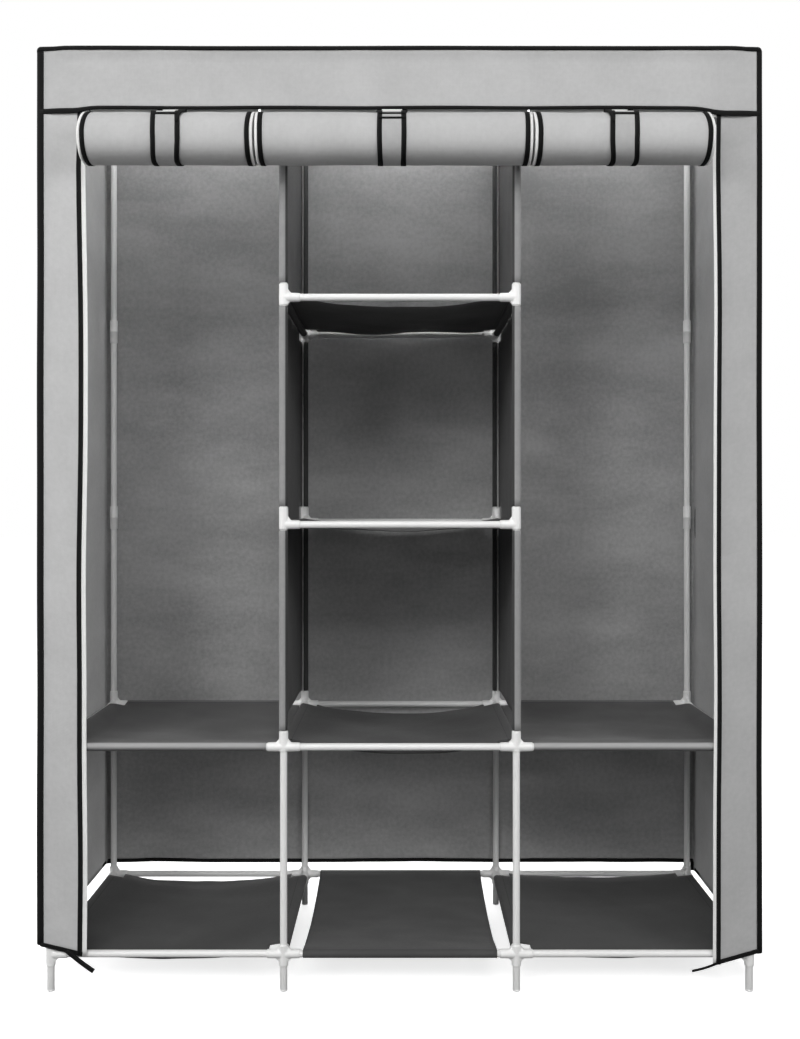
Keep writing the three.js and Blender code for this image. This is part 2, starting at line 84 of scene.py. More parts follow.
def bare_material(name):
    """A material with an empty node tree, and that tree."""
    material = bpy.data.materials.new(name)
    material.use_nodes = True
    material.node_tree.nodes.clear()
    return material, material.node_tree


camera = bpy.data.objects.new("camera", bpy.data.cameras.new("camera"))
bpy.context.collection.objects.link(camera)
camera.location = CAMERA_AT
camera.rotation_euler = (math.radians(90), 0, 0)
camera.data.lens = CAMERA_LENS
camera.data.sensor_width = 36
camera.data.shift_x, camera.data.shift_y = CAMERA_SHIFT
camera.data.clip_end = 60
bpy.context.scene.camera = camera
bpy.context.scene.view_settings.view_transform = "Standard"

# (name, place, aimed at, width and height, power in watts)
SOFT_LAMPS = [
    ("overhead_softbox", (-0.7, -2.2, 4.6), (0.0, 0.0, 1.0), (3.4, 2.6), 8),
    ("top_softbox", (0.0, 0.26, 2.05), (0.0, 0.20, 1.0), (1.6, 0.45), 23),
    ("high_front_softbox", (-0.5, -4.3, 4.0), (0.0, 0.0, 1.0), (3.2, 2.4), 122),
    ("left_front_softbox", (-1.8, -3.2, 2.1), (-0.3, 0.0, 0.9), (1.4, 1.6), 27),
    ("right_front_softbox", (3.3, -3.6, 2.3), (0.0, 0.0, 1.0), (2.4, 2.6), 84),
    ("back_softbox", (-0.7, 4.2, 3.2), (0.0, 0.2, 1.2), (3.0, 2.6), 92),
    ("left_side_softbox", (-4.2, -0.5, 1.7), (0.0, 0.0, 0.9), (2.0, 2.4), 90),
]
for name, place, aim, size, watts in SOFT_LAMPS:
    lamp = bpy.data.lights.new(name, "AREA")
    lamp.shape, lamp.size, lamp.size_y, lamp.energy = "RECTANGLE", size[0], size[1], watts
    lamp_object = bpy.data.objects.new(name, lamp)
    bpy.context.collection.objects.link(lamp_object)
    direction = np.array(aim) - np.array(place)
    lamp_object.location = place
    across = math.hypot(direction[0], direction[1])
    lamp_object.rotation_euler = (math.atan2(across, -direction[2]), 0, math.atan2(-direction[0], direction[1]))

world = bpy.data.worlds.new("white_studio")
bpy.context.scene.world = world
world.use_nodes = True
tree = world.node_tree
tree.nodes.clear()
ambient = add_node(tree, "Background", {"Color": (1, 1, 1, 1), "Strength": 0.02})
paper = add_node(tree, "Background", {"Color": (1, 1, 1, 1), "Strength": 1.0})
rays = add_node(tree, "LightPath").outputs
seen = add_node(tree, "Math", {0: rays["Is Camera Ray"], 1: rays["Is Glossy Ray"]}, operation="MAXIMUM")
seen = add_node(tree, "Math", {0: seen, 1: rays["Is Transmission Ray"]}, operation="MAXIMUM")
add_node(tree, "OutputWorld", {"Surface": add_node(tree, "MixShader", {0: seen, 1: ambient, 2: paper})})

# The floor is white paper: what the camera sees of it is white where no shadow falls,
# and its bounce is that of a pale grey floor.
floor_material, tree = bare_material("matt_paper")
place = add_node(tree, "TexCoord").outputs["Object"]
span = add_node(tree, "VectorMath", {0: place}, operation="LENGTH").outputs["Value"]
bright = add_node(tree, "MapRange", {"Value": span, 1: 0.8, 2: 2.2, 3: 0.74, 4: 1.0})
grey = add_node(tree, "BsdfDiffuse", {"Color": linear("8c8c8c")})
white = add_node(tree, "BsdfDiffuse", {"Color": linear("ffffff")})
glow = add_node(tree, "Emission", {"Color": (1, 1, 1, 1), "Strength": bright})
lit = add_node(tree, "AddShader", {0: white, 1: glow})
camera_ray = add_node(tree, "LightPath").outputs["Is Camera Ray"]
add_node(tree, "OutputMaterial", {"Surface": add_node(tree, "MixShader", {0: camera_ray, 1: grey, 2: lit})})
bpy.ops.mesh.primitive_plane_add(size=60, location=(0, 0, -0.0005))
floor = bpy.context.object
floor.name = "floor"
floor.data.materials.append(floor_material)

# Posts
# Thin-walled steel tubes, 13 mm across, powder coated white. The outer ones are in
# three lengths joined by moulded couplers, and all stand on plugged feet.
MM = 0.001
SHIFT_Y = 0.04585
OUTER_X, INNER_X, BAY, POST_Y = 0.630, 0.210, 0.42, 0.215
POST_XS = {"left_outer": -OUTER_X, "left_inner": -INNER_X, "right_inner": INNER_X, "right_outer": OUTER_X}
SIDES = {"front": -1, "back": 1}
TUBE_R = 6.5 * MM
SOCKET_R = 8.5 * MM
TOP_Z = 1.6902
POST_TOP = TOP_Z - SOCKET_R
COUPLER_ZS = (0.850, 1.258)
COUPLER_R, COUPLER_HEIGHT = 8.3 * MM, 50 * MM
ROUND = 40


def piece(name, points, faces, material, body="wardrobe", slot=None, maps=None, node=None):
    """A mesh object from an array of points and an array of four-cornered faces (a corner given twice makes a
    triangle), turned so that its faces point outwards by the sign of its volume. node is the CAD node it stands for."""
    points = np.asarray(points, float).reshape(-1, 3)
    faces = np.asarray(faces, int)
    a, b, c, d = (points[faces[:, k]] for k in range(4))
    volume = np.sum(np.cross(b - a, c - a) * a) + np.sum(np.cross(c - a, d - a) * a)
    if volume < 0:
        faces = faces[:, ::-1]
    mesh = bpy.data.meshes.new(name)
    repeats = faces == np.roll(faces, -1, axis=1)
    corners = faces[~repeats]
    counts = 4 - repeats.sum(axis=1)
    mesh.vertices.add(len(points))
    mesh.vertices.foreach_set("co", points.astype(np.float32).ravel())
    mesh.loops.add(len(corners))
    mesh.loops.foreach_set("vertex_index", corners.astype(np.int32))
    mesh.polygons.add(len(faces))
    mesh.polygons.foreach_set("loop_start", np.concatenate([[0], np.cumsum(counts)[:-1]]).astype(np.int32))
    mesh.polygons.foreach_set("use_smooth", np.full(len(faces), True))
    for map_name, values in (maps or {}).items():
        layer = mesh.uv_layers.new(name=map_name)
        layer.data.foreach_set("uv", np.asarray(values, np.float32).reshape(-1, 2)[corners].ravel())
    mesh.update(calc_edges=True)
    mesh.validate()
    mesh.materials.append(material)
    made = bpy.data.objects.new(name, mesh)
    bpy.context.collection.objects.link(made)
    if body:
        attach(made, body)
    if node:
        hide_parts(node)
    return made


def grid_faces(rows, columns, close_rows=False, close_columns=False):
    """Faces of a grid of rows x columns points, joined round where it is closed."""
    r = np.arange(rows if close_rows else rows - 1)
    c = np.arange(columns if close_columns else columns - 1)
    r, c = (x.ravel() for x in np.meshgrid(r, c, indexing="ij"))
    r2, c2 = (r + 1) % rows, (c + 1) % columns
    return np.stack([r * columns + c, r * columns + c2, r2 * columns + c2, r2 * columns + c], axis=1)


def turned(profile, start, axis, round_steps=ROUND):
    """A profile of (distance along, radius) pairs turned about the line from start along axis: point = start +
    axis * distance + radius * (side * cos + up * sin). It begins and ends on the axis, so it is closed."""
    profile = np.asarray(profile, float)
    axis = np.asarray(axis, float)
    side = np.array([0, 0, 1.0]) if abs(axis[2]) < 0.5 else np.array([1.0, 0, 0])
    up = np.cross(axis, side)
    angle = np.linspace(0, 2 * np.pi, round_steps, endpoint=False)
    ring = np.cos(angle)[:, None] * side + np.sin(angle)[:, None] * up
    points = np.asarray(start) + profile[:, 0, None, None] * axis + profile[:, 1, None, None] * ring
    return points.reshape(-1, 3), grid_faces(len(profile), round_steps, close_columns=True)


def together(*parts):
    """Several (points, faces) pairs as one."""
    points, faces, count = [], [], 0
    for part_points, part_faces in parts:
        points.append(part_points)
        faces.append(part_faces + count)
        count += len(part_points)
    return np.concatenate(points), np.concatenate(faces)


def tube(start, end, radius=TUBE_R, lip=0.6 * MM, parts=1):
    """A round bar from start to end with slightly rounded rims, in a few rings along its length."""
    start, end = np.asarray(start, float), np.asarray(end, float)
    length = np.linalg.norm(end - start)
    middle = np.linspace(lip, length - lip, parts + 1)
    profile = [(0, 0), (0, radius - lip), (lip * 0.3, radius - lip * 0.3)] + [(s, radius) for s in middle]
    profile += [(length - lip * 0.3, radius - lip * 0.3), (length, radius - lip), (length, 0)]
    return turned(profile, start, (end - start) / length)


def hard_skin(name, first, second, clouds, grain, shades, ior, relief):
    """A hard coat or moulding. Noise called clouds changes its grey and, between the two shades, its roughness, and
    noise called grain its height; each is a (size, detail) pair, its scale being 1 / size."""
    material, tree = bare_material(name)
    place = add_node(tree, "TexCoord").outputs["Object"]
    cloud, fine = (add_node(tree, "TexNoise", {"Vector": place, "Scale": 1 / size, "Detail": detail})
                   for size, detail in (clouds, grain))
    tint = add_node(tree, "Mix", {0: cloud, 6: linear(first), 7: linear(second)}, data_type="RGBA").outputs[2]
    shade = add_node(tree, "MapRange", {"Value": cloud, 1: 0.3, 2: 0.7, 3: shades[0], 4: shades[1]})
    bump = add_node(tree, "Bump", {"Height": fine, "Strength": relief, "Distance": 0.1 * MM})
    skin = add_node(tree, "BsdfPrincipled", {"Base Color": tint, "Roughness": shade, "IOR": ior, "Normal": bump})
    add_node(tree, "OutputMaterial", {"Surface": skin})
    return material


# Powder coat is sprayed as dust and baked: a satin skin with a faint orange peel of about 2 mm.
powder_coated_steel = hard_skin(
    "powder_coated_steel", "f8f8f7", "f0f0ef", (90 * MM, 4.0), (2 * MM, 2.0), (0.30, 0.42), 1.5, 0.12)
# ABS comes from the mould nearly smooth, with a fine spark-eroded grain and a soft shine.
moulded_abs = hard_skin("moulded_abs", "f9f9f8", "f2f2f1", (14 * MM, 3.0), (0.8 * MM, 3.0), (0.36, 0.5), 1.54, 0.15)

for post_name, x in POST_XS.items():
    for side_name, side in SIDES.items():
        y = side * POST_Y + SHIFT_Y
        foot, top = np.array([x, y, 0]), np.array([x, y, POST_TOP])
        post = f"{post_name}_{side_name}"
        piece(f"{post}_post_tube", *tube(foot + [0, 0, 3 * MM], top, parts=24), powder_coated_steel, slot="tube",
              node=f"{post}_post")
        plug = [(0, 0), (0, 5.2 * MM), (0.5 * MM, 6.2 * MM), (1.2 * MM, 6.7 * MM), (3.4 * MM, 6.8 * MM), (3.4 * MM, 0)]
        piece(f"{post}_foot_plug", *turned(plug, foot, (0, 0, 1)), moulded_abs, slot="tube")
        if abs(x) < OUTER_X:
            continue
        for number, z in enumerate(COUPLER_ZS):
            h, r = COUPLER_HEIGHT, COUPLER_R
            profile = [(0, 0), (0, 6.6 * MM), (0, r - 0.9 * MM), (0.4 * MM, r - 0.25 * MM), (1.2 * MM, r),
                       (h / 2 - 1.6 * MM, r), (h / 2 - 1.2 * MM, r + 0.3 * MM), (h / 2 + 1.2 * MM, r + 0.3 * MM),
                       (h / 2 + 1.6 * MM, r), (h - 1.2 * MM, r), (h - 0.4 * MM, r - 0.25 * MM), (h, r - 0.9 * MM),
                       (h, 6.6 * MM), (h, 0)]
            piece(f"{post}_coupler_{number + 1}", *turned(profile, (x, y, z - h / 2), (0, 0, 1)), moulded_abs,
                  slot="tube")

# Connectors
# White ABS mouldings at every crossing: a sleeve that slides over the post, and an arm
# for each rail, with a round web in every inside corner.
ARM = 30 * MM
LEVELS = {
    "bottom": (0.067, 17 * MM, 22 * MM),
    "middle": (0.440, 29 * MM, 8.5 * MM),
    "lower_tower": (0.841, 32 * MM, 9 * MM),
    "upper_tower": (1.251, 25 * MM, 15 * MM),
}
WEB_THICKNESS, WEB_REACH = 6.5 * MM, 9 * MM
connector_shapes = {}


def sleeve_profile(length, root_r, tip_r):
    """A moulded arm: it tapers from its root to its tip, and its mouth has a rounded rim."""
    return [(0, 0), (0, root_r), (length - 1.6 * MM, tip_r), (length - 0.5 * MM, tip_r - 0.4 * MM),
            (length, tip_r - 1.2 * MM), (length, 0)]


def corner_web(along, up, reach):
    """A web between two arms at a right angle: a quarter of a square, its free edge a hollow arc."""
    along, up = np.asarray(along, float), np.asarray(up, float)
    across = np.cross(along, up)
    root = SOCKET_R - 1.5 * MM
    angle = np.linspace(0, np.pi / 2, 9)
    far = root + reach
    hollow = np.stack([far - (far - root) * np.sin(angle), far - (far - root) * np.cos(angle)], axis=1)
    outline = np.concatenate([[(0, 0), (far, 0)], hollow[::-1][:-1], [(root, far), (0, far)]])
    flat = outline[:, 0, None] * along + outline[:, 1, None] * up
    near, away = flat - across * WEB_THICKNESS / 2, flat + across * WEB_THICKNESS / 2
    count = len(outline)
    middle = np.array([flat.mean(0) - across * WEB_THICKNESS / 2, flat.mean(0) + across * WEB_THICKNESS / 2])
    k = np.arange(count)
    n = (k + 1) % count
    walls = np.stack([k, n, n + count, k + count], axis=1)
    low = np.stack([k, k, n, np.full(count, 2 * count)], axis=1)
    high = np.stack([n + count, n + count, k + count, np.full(count, 2 * count + 1)], axis=1)
    return np.concatenate([near, away, middle]), np.concatenate([walls, low, high])


def connector_shape(arms, up, down, voxel=0.9 * MM):
    """Points and faces of a connector about its centre: closed arms and webs fused at the voxel's size and eased."""
    key = (tuple(arms), up, down)
    if key in connector_shapes:
        return connector_shapes[key]
    z_axis = np.array([0, 0, 1.0])
    parts = []
    if up > SOCKET_R:
        parts.append(turned(sleeve_profile(up, SOCKET_R, SOCKET_R - 0.2 * MM), (0, 0, 0), z_axis, 32))
    else:
        cap = [(0, 0), (0, SOCKET_R), (SOCKET_R - MM, SOCKET_R), (SOCKET_R, SOCKET_R - MM), (SOCKET_R, 0)]
        parts.append(turned(cap, (0, 0, 0), z_axis, 32))
    parts.append(turned(sleeve_profile(max(down, SOCKET_R), SOCKET_R, SOCKET_R - 0.2 * MM), (0, 0, 0), -z_axis, 32))
    for arm in arms:
        parts.append(turned(sleeve_profile(ARM, SOCKET_R, SOCKET_R - 0.5 * MM), (0, 0, 0), np.array(arm, float), 32))
        if up > 12 * MM:
            parts.append(corner_web(arm, z_axis, min(WEB_REACH, up - SOCKET_R)))
        if down > 12 * MM:
            parts.append(corner_web(arm, -z_axis, min(WEB_REACH, down - SOCKET_R)))
    for i, arm in enumerate(arms):
        for other in arms[i + 1:]:
            if abs(np.dot(arm, other)) < 0.5:
                parts.append(corner_web(arm, other, 5 * MM))
    base = piece("connector_blank", *together(*parts), moulded_abs, body=None)
    fused = base.modifiers.new("fused", "REMESH")
    fused.mode, fused.voxel_size = "VOXEL", voxel
    eased = base.modifiers.new("eased", "SMOOTH")
    eased.factor, eased.iterations = 0.5, 4
    bpy.context.view_layer.update()
    result = base.evaluated_get(bpy.context.evaluated_depsgraph_get()).to_mesh()
    points = np.zeros(len(result.vertices) * 3)
    result.vertices.foreach_get("co", points)
    counts = np.zeros(len(result.polygons), int)
    result.polygons.foreach_get("loop_total", counts)
    corners = np.zeros(len(result.loops), int)
    result.loops.foreach_get("vertex_index", corners)
    starts = np.concatenate([[0], np.cumsum(counts)[:-1]])
    last = np.where(counts == 4, 3, 2)
    faces = np.stack([corners[starts], corners[starts + 1], corners[starts + 2], corners[starts + last]], axis=1)
    bpy.data.objects.remove(base, do_unlink=True)
    connector_shapes[key] = points.reshape(-1, 3), faces
    return connector_shapes[key]


def connector(name, at, arms, up, down):
    """One connector at a crossing. Its shape is kept for arms that point the positive way, and mirrored here."""
    flip = np.array([-1 if (-1, 0, 0) in arms and (1, 0, 0) not in arms else 1,
                     -1 if (0, -1, 0) in arms and (0, 1, 0) not in arms else 1, 1])
    turned_arms = sorted({tuple(int(v) for v in np.array(arm) * flip) for arm in arms})
    points, faces = connector_shape(turned_arms, up, down)
    return piece(name, points * flip + np.array(at), faces, moulded_abs, slot="tube")


def level_columns(level_name):
    """Where a level's posts stand in x: all four columns, or the tower's two."""
    return list(POST_XS.values()) if level_name in ("bottom", "middle") else [-INNER_X, INNER_X]


def x_arms(x, columns):
    """The arms along a rail at x: one towards each neighbouring post."""
    return [(s, 0, 0) for s in (-1, 1) if min(columns) - 1e-6 <= x + s * BAY <= max(columns) + 1e-6]


for level_name, (z, up, down) in LEVELS.items():
    columns = level_columns(level_name)
    for side_name, side in SIDES.items():
        for post_name, x in POST_XS.items():
            if x in columns:
                connector(f"{level_name}_{post_name}_{side_name}_connector", (x, side * POST_Y + SHIFT_Y, z),
                          x_arms(x, columns) + [(0, -side, 0)], up, down)

# Rails
# The same white tube, cut to push about 20 mm into the connectors' arms: long ones
# across the front and the back, short ones from front to back.
SEAT = 10 * MM
for level_name, (z, *_) in LEVELS.items():
    columns = level_columns(level_name)
    for side_name, side in SIDES.items():
        y = side * POST_Y + SHIFT_Y
        runs = [tube((a + SEAT, y, z), (b - SEAT, y, z), parts=8) for a, b in zip(columns, columns[1:])]
        piece(f"{level_name}_{side_name}_rail_tubes", *together(*runs), powder_coated_steel, slot="tube",
              node=f"{level_name}_{side_name}_rail")
    for post_name, x in POST_XS.items():
        if x not in columns:
            continue
        run = tube((x, SHIFT_Y - POST_Y + SEAT, z), (x, SHIFT_Y + POST_Y - SEAT, z), parts=8)
        node = f"{level_name}_{post_name if len(columns) == 4 else post_name.split('_')[0]}_depth_rail"
        piece(f"{node}_tube", *run, powder_coated_steel, slot="tube", node=node)

# Top frame and hanging rails
# Under the top of the cover: rails all round, a depth rail over each post, and in each
# side bay one rail at mid depth for hangers, pushed into two sleeves.
top_runs = []
for side_name, side in SIDES.items():
    y = side * POST_Y + SHIFT_Y
    xs = list(POST_XS.values())
    top_runs += [tube((a + SEAT, y, TOP_Z), (b - SEAT, y, TOP_Z), parts=8) for a, b in zip(xs, xs[1:])]
    for post_name, x in POST_XS.items():
        connector(f"top_{post_name}_{side_name}_connector", (x, y, TOP_Z), x_arms(x, xs) + [(0, -side, 0)], 0, 45 * MM)
for post_name, x in POST_XS.items():
    top_runs.append(tube((x, SHIFT_Y - POST_Y + SEAT, TOP_Z), (x, SHIFT_Y + POST_Y - SEAT, TOP_Z), parts=8))
    to_bay = math.copysign(1, x) * (1 if abs(x) == INNER_X else -1)
    sleeve = tube((x, SHIFT_Y - 22 * MM, TOP_Z), (x, SHIFT_Y + 22 * MM, TOP_Z), SOCKET_R, 1.2 * MM)
    socket = turned(sleeve_profile(ARM, SOCKET_R, SOCKET_R - 0.4 * MM), (x, SHIFT_Y, TOP_Z), (to_bay, 0, 0))
    piece(f"top_{post_name}_hanger_socket", *together(sleeve, socket), moulded_abs, slot="tube")
piece("top_frame_tubes", *together(*top_runs), powder_coated_steel, slot="tube", node="top_frame")
for name, sign in (("left", -1), ("right", 1)):
    run = tube((sign * (INNER_X + SEAT), SHIFT_Y, TOP_Z), (sign * (OUTER_X - SEAT), SHIFT_Y, TOP_Z), parts=8)
    piece(f"{name}_hanging_rail_tube", *run, powder_coated_steel, slot="tube", node=f"{name}_hanging_rail")

# Sling shelves
# Dark non-woven cloth, folded back and sewn into a sleeve along two edges. Each sleeve
# holds a rail and the cloth hangs between them, with its corners cut out at the connectors.
SHELF_CLOTH, SLEEVE_R = 0.8 * MM, 7.2 * MM
NOTCH = 31.2 * MM


def spread(low, high, step, fixed=()):
    """Places from low to high about a step apart, with the fixed ones among them."""
    stops = sorted({low, high, *[f for f in fixed if low < f < high]})
    runs = [np.linspace(a, b, max(1, round((b - a) / step)) + 1)[:-1] for a, b in zip(stops, stops[1:])]
    return np.concatenate(runs + [[high]])


def crumple(u, v, seed, longest, height, count=26, lean=1.0):
    """Soft folds: a sum of plane waves sin(k.(u, v) + phase), their lengths from a sixth of longest up to it and
    their heights in proportion, scaled so that the result strays about height from zero."""
    chance = np.random.default_rng(seed)
    lengths = longest * chance.uniform(0.17, 1.0, count)
    turn = chance.uniform(0, np.pi, count)
    phase = chance.uniform(0, 2 * np.pi, count)
    total = np.zeros(np.broadcast(u, v).shape)
    for length, angle, shift in zip(lengths, turn, phase):
        k = 2 * np.pi / length
        total = total + length * np.sin(k * (np.cos(angle) * u * lean + np.sin(angle) * v) + shift)
    return height * total / (np.sqrt(np.sum(lengths ** 2) / 2) * 1.4)


def eased(distance, width):
    """0 at distance 0, 1 from width on, with a smooth step between."""
    t = np.clip(distance / width, 0, 1)
    return t * t * (3 - 2 * t)


def cloth(name, middle, thickness, material, keep=None, maps=None, **options):
    """A closed sheet about a grid of points: each face is the grid moved half the thickness along its normal, the
    cross product of the differences along rows and columns, and a rim joins the two wherever a kept cell ends.
    Its 'cloth' map holds metres along rows and columns."""
    rows, columns = middle.shape[:2]
    normal = np.cross(np.gradient(middle, axis=0), np.gradient(middle, axis=1))
    normal /= np.maximum(np.linalg.norm(normal, axis=2, keepdims=True), 1e-12)
    points = np.concatenate([(middle + normal * thickness / 2).reshape(-1, 3),
                             (middle - normal * thickness / 2).reshape(-1, 3)])
    keep = np.ones((rows - 1, columns - 1), bool) if keep is None else keep
    cells = grid_faces(rows, columns).reshape(rows - 1, columns - 1, 4)
    count = rows * columns
    framed = np.pad(keep, 1)
    faces = [cells[keep], cells[keep][:, ::-1] + count]
    neighbours = [framed[:-2, 1:-1], framed[1:-1, 2:], framed[2:, 1:-1], framed[1:-1, :-2]]
    for edge, beside in enumerate(neighbours):
        bare = cells[keep & ~beside]
        a, b = bare[:, edge], bare[:, (edge + 1) % 4]
        faces.append(np.stack([b, a, a + count, b + count], axis=1))
    faces = np.concatenate(faces)
    along_u = np.cumsum(np.pad(np.linalg.norm(np.diff(middle, axis=1), axis=2), ((0, 0), (1, 0))), axis=1)
    along_v = np.cumsum(np.pad(np.linalg.norm(np.diff(middle, axis=0), axis=2), ((1, 0), (0, 0))), axis=0)
    all_maps = {"cloth": np.stack([along_u, along_v], axis=2)}
    all_maps.update(maps or {})
    doubled = {key: np.concatenate([value.reshape(-1, 2)] * 2) for key, value in all_maps.items()}
    used, index = np.unique(faces, return_inverse=True)
    doubled = {key: value[used] for key, value in doubled.items()}
    return piece(name, points[used], index.reshape(faces.shape), material, maps=doubled, **options)


def stitches(tree, near, along, length, share):
    """1 on a seam's stitches: near, which is 1 on the seam's line, times whether the fraction of along / length is
    less than share."""
    phase = add_node(tree, "Math", {0: along, 1: length}, operation="DIVIDE")
    phase = add_node(tree, "Math", {0: phase}, operation="FRACT")
    dash = add_node(tree, "Math", {0: phase, 1: share}, operation="LESS_THAN")
    return add_node(tree, "Math", {0: near, 1: dash}, operation="MULTIPLY")


def spunbond(name, pale, dark, stitched=False, through=0.0, clouds=(110 * MM, 110 * MM), sleeve=None):
    """Spunbond polypropylene: melted threads blown flat and pressed with rows of tiny points. Matt, with clouds
    where the threads lie thicker. The points, really 0.8 mm apart, are drawn at 2.6 mm so that they can show.
    through is the share of light that shines through it. sleeve is a paler grey painted as a highlight on the lit top
    of a sleeve past the stitched line, where u runs on from 0; from u = 50 mm on, the sleeve is painted dark grey
    instead, as a painted shadow."""
    material, tree = bare_material(name)
    place = add_node(tree, "UVMap", uv_map="cloth")
    drawn = add_node(tree, "Mapping", {"Vector": place, "Scale": (1 / clouds[0], 1 / clouds[1], 1)})
    wide, fine, fibre = (
        add_node(tree, "TexNoise", {"Vector": at, "Scale": scale, "Detail": detail, "Roughness": roughness},
                 noise_dimensions="2D")
        for at, scale, detail, roughness in ((drawn, 1.0, 4.0, 0.6), (place, 1 / (9 * MM), 5.0, 0.65),
                                             (place, 1 / (1.2 * MM), 4.0, 0.5)))
    both = add_node(tree, "Math", {0: wide, 1: 0.55, 2: 0.0}, operation="MULTIPLY_ADD")
    both = add_node(tree, "Math", {0: fine, 1: 0.45, 2: both}, operation="MULTIPLY_ADD")
    level = add_node(tree, "MapRange", {"Value": both, 1: 0.34, 2: 0.66})
    colour = add_node(tree, "Mix", {0: level, 6: linear(dark), 7: linear(pale)}, data_type="RGBA").outputs[2]
    points = add_node(tree, "TexVoronoi", {"Vector": place, "Scale": 1 / (2.6 * MM), "Randomness": 0.15},
                      voronoi_dimensions="2D")
    pressed = add_node(tree, "MapRange", {"Value": points.outputs["Distance"], 1: 0.16, 2: 0.34})
    top = add_node(tree, "Math", {0: fibre, 1: 0.5, 2: pressed}, operation="MULTIPLY_ADD")
    if stitched:
        # A lockstitch in dark thread, 3.5 mm long, along the line where the second map's u is zero.
        seam = add_node(tree, "UVMap", uv_map="seam")
        seam_u, seam_v = add_node(tree, "SeparateXYZ", {0: seam}).outputs[:2]
        if sleeve:
            # Painted highlight: the paler sleeve grey from 8 to 26 mm past the stitched line. Painted shadow: dark grey
            # from 50 mm on.
            past = add_node(tree, "MapRange", {"Value": seam_u, 1: 8 * MM, 2: 14 * MM})
            short_of = add_node(tree, "MapRange", {"Value": seam_u, 1: 26 * MM, 2: 20 * MM})
            painted_sleeve_highlight = add_node(tree, "Math", {0: past, 1: short_of}, operation="MULTIPLY")
            painted_rear_sleeve_shadow = add_node(tree, "MapRange", {"Value": seam_u, 1: 45 * MM, 2: 50 * MM})
            for share, tint in ((painted_sleeve_highlight, sleeve), (painted_rear_sleeve_shadow, "303030")):
                colour = add_node(tree, "Mix", {0: share, 6: colour, 7: linear(tint)}, data_type="RGBA").outputs[2]
        away = add_node(tree, "Math", {0: seam_u}, operation="ABSOLUTE")
        near = add_node(tree, "MapRange", {"Value": away, 1: 0.4 * MM, 2: 0.9 * MM, 3: 1.0, 4: 0.0})
        groove = add_node(tree, "MapRange", {"Value": away, 1: 0.0, 2: 3.5 * MM, 3: -1.6, 4: 0.0})
        thread = stitches(tree, near, seam_v, 3.5 * MM, 0.78)
        top = add_node(tree, "Math", {0: top, 1: groove}, operation="ADD")
        top = add_node(tree, "Math", {0: thread, 1: 1.4, 2: top}, operation="MULTIPLY_ADD")
        colour = add_node(tree, "Mix", {0: thread, 6: colour, 7: linear("1c1c1c")}, data_type="RGBA").outputs[2]
    shade = add_node(tree, "MapRange", {"Value": fine, 1: 0.3, 2: 0.7, 3: 0.68, 4: 0.86})
    bump = add_node(tree, "Bump", {"Height": top, "Strength": 0.5, "Distance": 0.12 * MM})
    surface = add_node(tree, "BsdfPrincipled", {
        "Base Color": colour, "Roughness": shade, "IOR": 1.49, "Specular IOR Level": 0.3, "Sheen Weight": 0.12,
        "Sheen Roughness": 0.5, "Normal": bump})
    if through:
        behind = add_node(tree, "BsdfTranslucent", {"Color": colour, "Normal": bump})
        surface = add_node(tree, "MixShader", {0: through, 1: surface, 2: behind})
    add_node(tree, "OutputMaterial", {"Surface": surface})
    return material


shelf_cloth = spunbond("dark_spunbond_cloth", "4d4d4d", "434343", stitched=True)
# The middle side shelves' sleeves get a painted highlight on their lit top, and the rear sleeve a painted shadow.
side_shelf_cloth = spunbond("dark_spunbond_cloth_with_painted_sleeve_light_and_shade", "595959", "4d4d4d", stitched=True, sleeve="a8a8a8")


